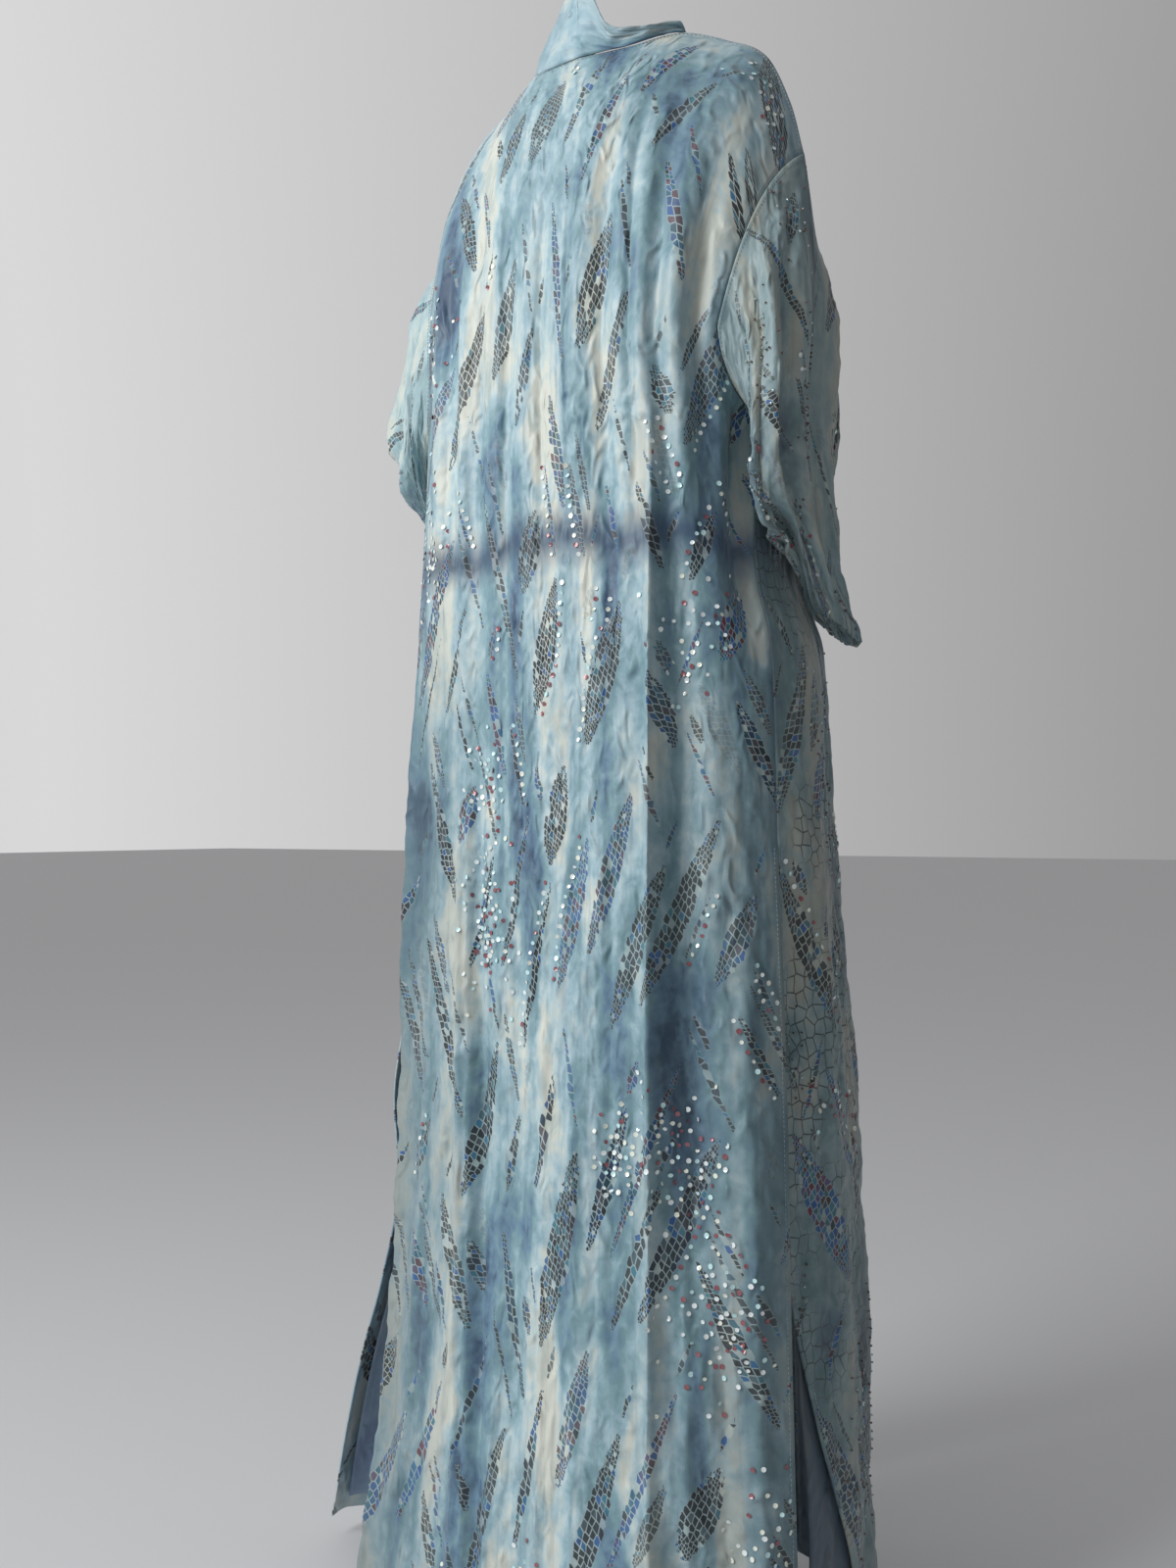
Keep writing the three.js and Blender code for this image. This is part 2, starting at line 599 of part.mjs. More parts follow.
// The collar band: up the left front, round the nape and down the right front
function makeBand(back, left, right) {
  const nape = [];
  for (let j = backSteps; j >= 0; j -= 1) {
    const share = j * 2 / backSteps - 1;
    if (Math.abs(share) > neckShare + 0.001) continue;
    const height = readTable(napeBand, 'share', share, 'height');
    nape.push(bandStation(back.outer[0][j], napeDirection(share), height, napeBandGap));
  }
  const outer = [...frontBandStations(1, left).reverse(), ...nape, ...frontBandStations(-1, right)];
  return { outer, inner: offsetRows(outer, gridNormals(outer, -1), -collarWall) };
}

// The pieces
const back = makeBack();
const fronts = { left: makeFront(1), right: makeFront(-1) };
const linings = { left: makeLining(1), right: makeLining(-1) };
const sleeves = {
  left: makeSleeve(1, leftSleeve, armholeLoop(1, back, fronts.left)),
  right: makeSleeve(-1, rightSleeve, armholeLoop(-1, back, fronts.right)),
};

const printedColor = 0x8fa9b5;
const liningColor = 0x8b9dc0;
const bandColor = 0x86aab8;

const robe = new THREE.Group();
function addPiece(name, piece, color = printedColor, closedRound = false) {
  const silk = new THREE.MeshStandardMaterial({ color, roughness: 0.55, metalness: 0 });
  const mesh = new THREE.Mesh(wallGeometry(piece.outer, piece.inner, closedRound), silk);
  mesh.name = name;
  robe.add(mesh);
}

addPiece('back_panel', back);
addPiece('front_left', fronts.left);
addPiece('front_right', fronts.right);
addPiece('front_lining_left', linings.left, liningColor);
addPiece('front_lining_right', linings.right, liningColor);
addPiece('sleeve_left', sleeves.left, printedColor, true);
addPiece('sleeve_right', sleeves.right, printedColor, true);
addPiece('collar_band', makeBand(back, fronts.left, fronts.right), bandColor);

export default robe;
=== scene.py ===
import math
import random
import bpy
import bmesh
import numpy as np
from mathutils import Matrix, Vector, noise
from mathutils.kdtree import KDTree


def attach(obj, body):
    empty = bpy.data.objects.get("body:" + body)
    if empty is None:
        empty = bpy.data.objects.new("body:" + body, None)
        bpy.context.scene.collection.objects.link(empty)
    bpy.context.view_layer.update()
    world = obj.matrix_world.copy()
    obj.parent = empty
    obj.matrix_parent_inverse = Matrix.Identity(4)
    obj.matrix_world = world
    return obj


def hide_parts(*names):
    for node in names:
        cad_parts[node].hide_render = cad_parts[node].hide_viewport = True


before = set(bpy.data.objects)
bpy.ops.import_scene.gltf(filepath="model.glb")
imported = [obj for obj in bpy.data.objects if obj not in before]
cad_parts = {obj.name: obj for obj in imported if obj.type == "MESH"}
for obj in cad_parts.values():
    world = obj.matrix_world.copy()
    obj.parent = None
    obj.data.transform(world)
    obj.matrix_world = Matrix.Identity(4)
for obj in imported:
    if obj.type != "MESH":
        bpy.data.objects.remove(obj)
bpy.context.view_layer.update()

# The robe's own sizes are in millimetres here, as in the model, and become metres when a mesh is placed.
# X is the wearer's left, Y the back, Z up, and the origin is the base of the neck.
metres = 0.001


# Rows of numbers under the names of their columns
def table(names, rows):
    return [dict(zip(names.split(), row)) for row in rows]


cut = {
    "wall": 1.6, "seamGap": 0.3, "shoulderGap": 0.5, "armholeGap": 0.5,
    "collarWall": 2.4, "napeBandGap": 1.2, "liningGap": 4.0, "sewnGap": 1.2, "liningSpread": 160,
    "middleY": -15, "chestZ": -330, "underarmZ": -402, "slitZ": -775, "hemZ": -1480,
    "neckShare": 0.5, "frontEdgeDegrees": 142, "widestBackDegrees": 75, "slitDegrees": 70,
}

sections = table("z left right back front square", [
    (-330, 180, 174, 140, 120, 3.0),
    (-430, 181, 168, 145, 122, 3.0),
    (-540, 190, 175, 148, 124, 2.8),
    (-600, 196, 196, 150, 130, 2.6),
    (-775, 203, 207, 153, 136, 2.5),
    (-1050, 209, 226, 162, 148, 2.5),
    (-1280, 222, 234, 174, 152, 2.6),
    (-1480, 236, 240, 190, 156, 2.8),
])

topEdge = table("share x y z", [
    (0.0, 0, 62, -46),
    (0.28, 50, 51, -43),
    (0.5, 83, 12, -22),
    (0.64, 115, -14, -26),
    (0.8, 152, -20, -48),
    (0.92, 177, -18, -99),
    (1.0, 191, -15, -150),
])

sideEdges = table("z back frontLeft frontRight", [
    (-330, 57, 110, 110),
    (-352, 58.5, 108, 108),
    (-375, 62, 102, 102),
    (-392, 68, 90, 90),
    (-402, 75, 75, 75),
    (-520, 71, 71, 71),
    (-775, 70, 70, 70),
    (-1050, 68, 77, 68.5),
    (-1150, 67.3, 78.3, 69),
    (-1241, 66.6, 79.3, 73.5),
    (-1300, 66, 80, 77),
    (-1391, 65.3, 81, 87),
    (-1480, 64.5, 82, 99),
])

slitFlare = table("z frontLeft frontRight backLeft backRight", [
    (-775, 0, 0, 0, 0),
    (-860, 10, -4, -3, 2),
    (-950, 16, -7, -6, 4),
    (-1030, 28, -8, -5, 5),
    (-1128, 22, -8, -3, 5),
    (-1217, 36, -5, -4, 6),
    (-1304, 58, 0, 2, 8),
    (-1390, 75, -4, 6, 8),
    (-1480, 88, -12, 8, 4),
])

liningEdges = table("z left right", [
    (-775, 0.055, 0.055),
    (-1150, 0.055, 0.055),
    (-1241, 0.055, -0.03),
    (-1300, 0.055, -0.08),
    (-1391, 0.055, -0.26),
    (-1480, 0.055, -0.6),
])

# Each sleeve ring by its outermost, innermost, rearmost and foremost points, from armhole to cuff
ringSides = ("outer", "inner", "back", "front")
sleeveRings = {
    "right": [
        [(-191, -15, -150), (-163, 30, -402), (-160, 88, -305), (-176, -74, -290)],
        [(-206, -11, -215), (-181, 12, -425), (-178, 92, -350), (-190, -58, -335)],
        [(-216, -6, -300), (-183, 5, -450), (-186, 94, -402), (-192, -60, -395)],
        [(-212, -8, -380), (-183, 0, -482), (-185, 92, -448), (-190, -58, -455)],
        [(-208, -22, -450), (-183, -12, -508), (-188, 78, -488), (-191, -60, -500)],
        [(-209, -30, -520), (-185, -26, -530), (-189, 22, -502), (-195, -68, -545)],
        [(-211, -80, -580), (-184, -80, -574), (-190, -42, -566), (-197, -116, -588)],
    ],
    "left": [
        [(191, -15, -150), (168, 30, -402), (162, 88, -305), (178, -74, -290)],
        [(208, -12, -205), (189, 12, -425), (182, 84, -335), (200, -84, -325)],
        [(227, -12, -280), (191, 5, -450), (191, 72, -385), (210, -92, -388)],
        [(248, -8, -358), (196, -8, -470), (205, 62, -412), (216, -102, -446)],
        [(230, -36, -420), (200, -30, -500), (205, 26, -428), (212, -120, -506)],
        [(222, -62, -485), (201, -52, -528), (205, -10, -470), (208, -134, -560)],
        [(216, -92, -548), (197, -88, -560), (202, -50, -540), (204, -136, -585)],
    ],
}

napeBand = table("share height leanIn leanBack", [
    (-0.5, 8, 0.1, 0.2),
    (-0.3, 15, 0.1, 0.3),
    (-0.16, 24, 0.0, 0.25),
    (-0.08, 56, 0.0, 0.15),
    (0.05, 66, 0.2, 0.05),
    (0.2, 74, 0.45, 0.0),
    (0.35, 82, 0.6, -0.05),
    (0.5, 86, 0.52, 0.0),
])

frontBand = table("z left right standing", [
    (-25, 86, 10, 1.0),
    (-60, 84, 20, 0.85),
    (-110, 74, 36, 0.6),
    (-180, 58, 46, 0.3),
    (-280, 48, 46, 0.05),
    (-400, 46, 46, 0.0),
    (-1480, 46, 46, 0.0),
])


def fold(start, end, top, foot, out, wide, soft, crisp=2.0):
    return {"from": start, "to": end, "top": top, "foot": foot, "out": out, "wide": wide, "soft": soft,
            "crisp": crisp}


# The main folds, as in the model, then the finer ones that only show up close
backFolds = [
    fold(-50, -640, 0.68, 0.524, 5, 0.05, 0.4),
    fold(-50, -640, 0.575, 0.436, -4, 0.04, 0.45),
    fold(-50, -820, 0.515, 0.333, 6, 0.04, 0.4),
    fold(-50, -760, 0.35, 0.2, 3, 0.035, 0.45),
    fold(-60, -640, 0.243, 0.145, -3, 0.035, 0.45),
    fold(-50, -720, 0.142, 0.02, 4, 0.06, 0.45),
    fold(-55, -700, -0.017, -0.144, 3, 0.04, 0.5),
    fold(-55, -640, -0.108, -0.238, 3, 0.045, 0.5),
    fold(-45, -660, -0.234, -0.379, -8, 0.05, 0.45),
    fold(-50, -560, -0.3, -0.425, 3, 0.04, 0.45),
    fold(-45, -560, -0.398, -0.54, 5, 0.045, 0.4),
    fold(-60, -600, -0.45, -0.606, -5, 0.035, 0.45),
    fold(-80, -660, -0.518, -0.7, 7, 0.05, 0.45),
    fold(-80, -560, -0.594, -0.782, -8, 0.045, 0.4),
    fold(-300, -1700, -0.52, -0.48, 13, 0.024, 0.22, 1.1),
    fold(-440, -1250, -0.6, -0.63, -15, 0.07, 0.35),
    fold(-600, -1800, 0.42, 0.2, 9, 0.04, 0.25, 1.0),
    fold(-600, -1800, 0.34, 0.11, -9, 0.04, 0.25, 1.2),
    fold(-520, -1800, 0.77, 0.69, 9, 0.03, 0.2, 1.0),
    fold(-900, -1800, 0.86, 0.84, -6, 0.04, 0.3, 1.2),
    fold(-640, -1800, 0.1, 0.0, -5, 0.07, 0.3, 1.3),
    fold(-800, -1800, -0.2, -0.25, 6, 0.06, 0.3, 1.1),
    fold(-780, -1800, -0.8, -0.77, 10, 0.05, 0.3, 1.2),
    fold(-840, -1800, -0.92, -0.91, -8, 0.04, 0.3, 1.3),
    fold(-250, -620, -0.76, -0.75, 6, 0.05, 0.4),
    fold(-320, -660, -0.92, -0.9, -18, 0.075, 0.35),
]
fineBackFolds = [
    fold(-350, -1650, -0.512, -0.472, 5, 0.01, 0.25),
    fold(-90, -700, 0.6, 0.48, -2.5, 0.016, 0.4),
    fold(-80, -620, 0.3, 0.19, 2.0, 0.018, 0.4),
    fold(-100, -560, 0.41, 0.3, -2.2, 0.016, 0.4),
    fold(-90, -640, 0.06, -0.05, -2.0, 0.016, 0.4),
    fold(-120, -600, -0.06, -0.18, 2.0, 0.014, 0.4),
    fold(-60, -520, -0.35, -0.48, -2.5, 0.016, 0.4),
    fold(-560, -1700, 0.39, 0.17, 3.5, 0.012, 0.3),
    fold(-560, -1800, 0.775, 0.7, 4, 0.01, 0.2),
    fold(-640, -1600, 0.6, 0.54, 2.0, 0.016, 0.3),
    fold(-700, -1500, -0.05, -0.1, 2.0, 0.018, 0.3),
    fold(-600, -1300, -0.35, -0.36, -2.0, 0.02, 0.3),
    fold(-900, -1700, -0.6, -0.58, 2.5, 0.015, 0.3),
    fold(-860, -1700, -0.7, -0.69, -2.5, 0.018, 0.3),
    fold(-1000, -1750, 0.14, 0.12, 2.5, 0.016, 0.3),
]
frontFolds = [
    fold(-90, -560, 0.3, 0.26, 5, 0.09, 0.35),
    fold(-90, -620, 0.62, 0.55, 6, 0.09, 0.35),
    fold(-520, -1700, 0.2, 0.24, 6, 0.08, 0.25),
    fold(-480, -1700, 0.42, 0.44, -9, 0.08, 0.25),
    fold(-560, -1700, 0.64, 0.66, 9, 0.08, 0.25),
    fold(-640, -1700, 0.85, 0.84, -6, 0.07, 0.25),
]
fineFrontFolds = [
    fold(-420, -1650, 0.12, 0.1, 2, 0.03, 0.3),
    fold(-500, -1700, 0.32, 0.34, 2.5, 0.03, 0.3),
    fold(-200, -1300, 0.53, 0.56, -2.5, 0.03, 0.3),
    fold(-600, -1700, 0.76, 0.75, 2.5, 0.03, 0.3),
]
foldlessEdge = 0.12


def mix(a, b, share):
    return a + (b - a) * share


def ease(share):
    t = np.clip(share, 0, 1)
    return t * t * (3 - 2 * t)


def unit(vectors):
    return vectors / np.maximum(np.linalg.norm(vectors, axis=-1, keepdims=True), 1e-9)


# A smooth curve through one column of a table, at every place in an array
def readTable(rows, key, at, column):
    keys = np.array([row[key] for row in rows], float)
    values = np.array([row[column] for row in rows], float)
    if keys[0] > keys[-1]:
        keys, values = keys[::-1], values[::-1]
    place = np.clip(at, keys[0], keys[-1])
    i = np.clip(np.searchsorted(keys, place, side="right") - 1, 0, len(keys) - 2)
    before = np.maximum(np.arange(len(keys)) - 1, 0)
    after = np.minimum(np.arange(len(keys)) + 1, len(keys) - 1)
    slopes = (values[after] - values[before]) / (keys[after] - keys[before])
    span = keys[i + 1] - keys[i]
    t = (place - keys[i]) / span
    start = (2 * t**3 - 3 * t**2 + 1) * values[i] + (t**3 - 2 * t**2 + t) * span * slopes[i]
    return start + (3 * t**2 - 2 * t**3) * values[i + 1] + (t**3 - t**2) * span * slopes[i + 1]


# The body's section at a height, at an angle from the centre of the back, positive to the left
def bodyPoint(angle, z):
    half = np.where(angle > 0, readTable(sections, "z", z, "left"), readTable(sections, "z", z, "right"))
    behind = np.abs(angle) < math.pi / 2
    depth = np.where(behind, readTable(sections, "z", z, "back"), readTable(sections, "z", z, "front"))
    power = readTable(sections, "z", z, "square")
    across = np.abs(np.sin(angle)) / half
    along = np.abs(np.cos(angle)) / depth
    radius = (across**power + along**power) ** (-1 / power)
    return np.stack([radius * np.sin(angle), cut["middleY"] + radius * np.cos(angle), z + 0 * angle], -1)


def bodyNormal(angle, z):
    across = bodyPoint(angle + 0.01, z) - bodyPoint(angle - 0.01, z)
    down = bodyPoint(angle, z - 2) - bodyPoint(angle, z + 2)
    return unit(np.cross(across, down))


def topPoint(share):
    at = np.abs(share)
    side = np.where(share < 0, -1, 1)
    columns = [readTable(topEdge, "share", at, axis) for axis in ("x", "y", "z")]
    return np.stack([side * columns[0], columns[1], columns[2]], -1)


# From the top edge over the shoulder to the chest section
def yokePoint(top, chest, share):
    shoulder = np.stack([
        mix(top[..., 0], chest[..., 0], 0.4),
        mix(top[..., 1], chest[..., 1], 0.8),
        mix(top[..., 2], chest[..., 2], 0.25),
    ], -1)
    w = share[..., None]
    return (1 - w) ** 2 * top + 2 * w * (1 - w) * shoulder + w**2 * chest


def gapAngle(z):
    return cut["seamGap"] / 2 / readTable(sections, "z", z, "left")


def backAngle(share, z):
    return share * (np.radians(readTable(sideEdges, "z", z, "back")) - gapAngle(z))


def frontAngle(side, share, z):
    column = "frontLeft" if side > 0 else "frontRight"
    sewn = (z <= cut["underarmZ"]) & (z >= cut["slitZ"])
    edge = np.where(sewn, readTable(sideEdges, "z", z, "back"), readTable(sideEdges, "z", z, column))
    return side * mix(np.radians(edge) + gapAngle(z), math.radians(cut["frontEdgeDegrees"]), share)


def slitPush(column, fromEdge, z):
    fade = 1 - ease(fromEdge)
    return np.where(z > cut["slitZ"], 0, readTable(slitFlare, "z", z, column) * fade * fade)


# Folds hang straight, so their places are shares of the widest angle and not of the panel's width there
def hangingShare(share, z):
    return share * readTable(sideEdges, "z", np.minimum(z, cut["chestZ"]), "back") / cut["widestBackDegrees"]


def hangingFrontShare(side, share, z):
    angle = np.degrees(frontAngle(side, share, np.minimum(z, cut["chestZ"]))) * side
    return (angle - cut["slitDegrees"]) / (cut["frontEdgeDegrees"] - cut["slitDegrees"])


def foldHeight(folds, share, z):
    height = 0 * share
    for row in folds:
        down = (row["from"] - z) / (row["from"] - row["to"])
        place = mix(row["top"], row["foot"], down)
        fade = ease(down / row["soft"]) * ease((1 - down) / row["soft"])
        height = height + row["out"] * fade * np.exp(-(np.abs((share - place) / row["wide"]) ** row["crisp"]))
    return height


def seamFade(fromEdge, z):
    return np.where(z > cut["slitZ"], ease(fromEdge / foldlessEdge), ease(fromEdge / foldlessEdge + 0.4))


# How a panel's second coordinate runs: first the yoke's curves, then heights down to the hem
yokeLength = 330.0
bodyLength = cut["chestZ"] - cut["hemZ"]
panelLength = yokeLength + bodyLength
slitFrom = (yokeLength + cut["chestZ"] - cut["slitZ"]) / panelLength


def rowPlace(down):
    length = down * panelLength
    share = np.clip(length / yokeLength, 0, 1)
    z = np.where(length > yokeLength, cut["chestZ"] - (length - yokeLength), cut["chestZ"])
    return share, z


def backSurface(share, down):
    yoke, z = rowPlace(down)
    angle = backAngle(share, z)
    push = np.where(share > 0, slitPush("backLeft", (1 - np.abs(share)) * 3, z),
                    slitPush("backRight", (1 - np.abs(share)) * 3, z))
    body = bodyPoint(angle, z) + bodyNormal(angle, z) * push[..., None]
    chestZ = np.full_like(share, cut["chestZ"])
    over = yokePoint(topPoint(share), bodyPoint(backAngle(share, chestZ), chestZ), yoke)
    return np.where((yoke < 1)[..., None], over, body)


def frontSurface(side):
    def surface(share, down):
        yoke, z = rowPlace(down)
        angle = frontAngle(side, share, z)
        push = slitPush("frontLeft" if side > 0 else "frontRight", share * 1.5, z)
        body = bodyPoint(angle, z) + bodyNormal(angle, z) * push[..., None]
        chestZ = np.full_like(share, cut["chestZ"])
        top = topPoint(side * mix(1, cut["neckShare"], share))
        top[..., 1] -= cut["shoulderGap"] * (down <= 0)
        over = yokePoint(top, bodyPoint(frontAngle(side, share, chestZ), chestZ), yoke)
        return np.where((yoke < 1)[..., None], over, body)
    return surface


# Outward directions of a surface that is a function of two coordinates
def surfaceNormals(surface, across, down, turn):
    step = 0.002
    right = surface(np.minimum(across + step, 1), down) - surface(np.maximum(across - step, -1), down)
    below = surface(across, np.clip(down + step, 0, 1)) - surface(across, np.clip(down - step, 0, 1))
    return unit(np.cross(right, below)) * turn


# The turned hem is a little thicker than the panel, in millimetres
hemRoll = {"rise": 1.1, "deep": 9.0, "soft": 5.0}


# A panel's points: the surface, its folds and the small crumples of soft silk
def panelPoints(surface, folds, across, down, turn, fromEdge, crumple, hang):
    points = surface(across, down)
    normals = surfaceNormals(surface, across, down, turn)
    z = points[..., 2]
    height = foldHeight(folds, hang(across, z), z) * seamFade(fromEdge, z) * ease(down * 30)
    height = height + crumple(across, down) * ease(fromEdge * 14) * ease(down * 12)
    fromHem = (1 - down) * panelLength
    height = height + hemRoll["rise"] * (1 - ease((fromHem - hemRoll["deep"]) / hemRoll["soft"]))
    return points + normals * height[..., None]


# Crushed silk: ridged noise on the flat cloth, stretched along a leaning line; sizes are in millimetres
def crushed(x, y, layers):
    total = np.zeros(len(x))
    for size, long, lean, height, seed in layers:
        turn = math.radians(lean)
        u = (x * math.cos(turn) + y * math.sin(turn)) / size
        v = (y * math.cos(turn) - x * math.sin(turn)) / (size * long)
        total += height * np.array([
            noise.ridged_multi_fractal((a, b, seed), 0.9, 2.1, 3, 1.0, 2.0) - 1.1 for a, b in zip(u, v)])
    return total


# The print: short straight leaves of pebble scales, in rows that lean left and right by turns
leafSizes = {
    "step": 3.0, "cell": 5.2, "rowLimit": 7, "jitter": 0.5, "apart": 4.0, "shortest": 30,
    "widths": [10, 13, 17, 22, 30], "narrowest": 4.2, "reach": (70, 185), "rowHeight": 118, "lean": 0.46,
    "members": [(1.0, 1.0, 1.0), (0.3, 0.95, 0.95), (0.6, 0.7, 0.9), (0.3, 0.6, 0.9), (0.85, 0.6, 0.3)],
    "kinds": [0.0, 0.0, 0.0, 0.15, 0.3, 0.6, 0.95],
}


# The lean of a leaf by the row in which it starts, with a slow change across the cloth
def leafAngle(x, y, seed):
    side = 1 if math.floor(y / leafSizes["rowHeight"]) % 2 else -1
    return -math.pi / 2 + side * leafSizes["lean"] * (0.75 + 0.25 * math.sin(x / 70 + seed))


def growLeaf(start, length, width, seed, kind, strength, taken):
    points = []
    x, y = start
    angle = leafAngle(x, y, seed)
    for _ in range(int(length / leafSizes["step"])):
        near = taken[:, 2] + width / 2 + leafSizes["apart"]
        if len(taken) and np.any(np.hypot(taken[:, 0] - x, taken[:, 1] - y) < near):
            break
        points.append((x, y))
        x += leafSizes["step"] * math.cos(angle)
        y += leafSizes["step"] * math.sin(angle)
    if len(points) * leafSizes["step"] < leafSizes["shortest"]:
        return None
    along = np.linspace(0, 1, len(points))
    lens = np.sin(math.pi * np.clip(along, 0.02, 0.98)) ** 0.8
    half = width / 2 * np.maximum(lens, 0.5)
    rows = min(leafSizes["rowLimit"] - 1, max(1, round(width / leafSizes["cell"])))
    cell = np.maximum(2 * half / rows, 2.2)
    return {
        "points": np.array(points), "tangent": np.array([math.cos(angle), math.sin(angle)]),
        "half": half, "lens": width / 2 * lens,
        "cell": cell, "rows": rows,
        "run": np.cumsum(leafSizes["step"] / cell), "kind": kind, "strength": strength,
    }


# Leaves of every size on a lattice, each kept clear of the ones before; y runs down from the top
def layoutLeaves(seed, left, width, length, fans):
    chance = random.Random(seed)
    leaves = []
    taken = np.zeros((0, 3))
    for member, (wide, longest, strength) in enumerate(leafSizes["members"]):
        for i in range(fans):
            x = left + ((i + 0.37 * member) * 0.618 + 0.19) % 1 * width
            y = -(i + 0.25 * member) / fans * length
            widest = max(chance.choice(leafSizes["widths"]) * wide, leafSizes["narrowest"])
            long = chance.uniform(*leafSizes["reach"]) * longest
            kind = chance.choice(leafSizes["kinds"])
            leaf = growLeaf((x, y), long, widest, seed, kind, strength * chance.uniform(0.85, 1.0), taken)
            if leaf:
                leaves.append(leaf)
                taken = np.concatenate([taken, np.column_stack([leaf["points"], leaf["half"]])])
    return leaves


# Gives every face the coordinates of its nearest leaf: along, across, room to the leaf's edge
def writeLeaves(mesh, flat, leaves):
    tree = KDTree(sum(len(leaf["points"]) for leaf in leaves))
    owners = []
    for number, leaf in enumerate(leaves):
        for k, point in enumerate(leaf["points"]):
            tree.insert((point[0], point[1], 0), len(owners))
            owners.append((number, k))
    tree.balance()
    corners = np.zeros(len(mesh.loops), np.int64)
    mesh.loops.foreach_get("vertex_index", corners)
    starts = np.zeros(len(mesh.polygons), np.int64)
    totals = np.zeros(len(mesh.polygons), np.int64)
    mesh.polygons.foreach_get("loop_start", starts)
    mesh.polygons.foreach_get("loop_total", totals)
    faceOf = np.repeat(np.arange(len(starts)), totals)
    corner = flat[corners]
    centres = np.stack([np.bincount(faceOf, corner[:, k]) / totals for k in (0, 1)], -1)
    nearest = np.array([tree.find((x, y, 0))[1] for x, y in centres])
    number = np.array([owners[k][0] for k in nearest])[faceOf]
    sample = np.array([owners[k][1] for k in nearest])[faceOf]
    data = np.zeros((len(corner), 3))
    kind = np.zeros((len(corner), 4))
    for n, leaf in enumerate(leaves):
        mine = np.nonzero(number == n)[0]
        if not len(mine):
            continue
        k = sample[mine]
        away = corner[mine] - leaf["points"][k]
        tangent = leaf["tangent"]
        across = -away[:, 0] * tangent[1] + away[:, 1] * tangent[0]
        forward = away @ tangent
        cell = leaf["cell"][k]
        rows = leaf["rows"]
        along = leaf["run"][k] + forward / cell
        room = np.minimum(along - 0.2, leaf["run"][-1] - along)
        room = np.minimum(room, (leaf["lens"][k] - np.abs(across)) / cell + 0.35)
        row = across / cell + rows / 2
        data[mine] = np.stack([along + 0.5 * row + 17.3 * n, row + leafSizes["rowLimit"] * (n + 1), room], -1)
        kind[mine] = (leaf["kind"], leaf["strength"], rows / 10, 1)
    leafing = mesh.attributes.new("leaf", "FLOAT_VECTOR", "CORNER")
    leafing.data.foreach_set("vector", data.ravel())
    kinds = mesh.attributes.new("leafKind", "FLOAT_COLOR", "CORNER")
    kinds.data.foreach_set("color", kind.ravel())


# A flat grid of faces, shaped by a function of its own coordinates
def gridMesh(name, columns, rows, place, flatOf, inward=False):
    bm = bmesh.new()
    bmesh.ops.create_grid(bm, x_segments=columns, y_segments=rows, size=0.5)
    coordinates = np.array([(vertex.co.x + 0.5, 0.5 - vertex.co.y) for vertex in bm.verts])
    points = place(coordinates[:, 0], coordinates[:, 1]) * metres
    for vertex, point in zip(bm.verts, points):
        vertex.co = point
    flat = flatOf(coordinates[:, 0], coordinates[:, 1])
    layer = bm.loops.layers.uv.new("cloth")
    bm.verts.index_update()
    for face in bm.faces:
        face.smooth = True
        for loop in face.loops:
            loop[layer].uv = flat[loop.vert.index] * metres
    if inward:
        bmesh.ops.reverse_faces(bm, faces=bm.faces)
    mesh = bpy.data.meshes.new(name)
    bm.to_mesh(mesh)
    bm.free()
    return mesh, flat


# Puts a panel in its node's place, with a wall that grows inwards
def placePanel(mesh, name, node, material, thickness):
    piece = bpy.data.objects.new(name, mesh)
    bpy.context.collection.objects.link(piece)
    mesh.materials.append(material)
    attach(piece, "root")
    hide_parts(node)
    shell = piece.modifiers.new("shell", "SOLIDIFY")
    shell.thickness = thickness * metres
    shell.offset = -1
    return piece


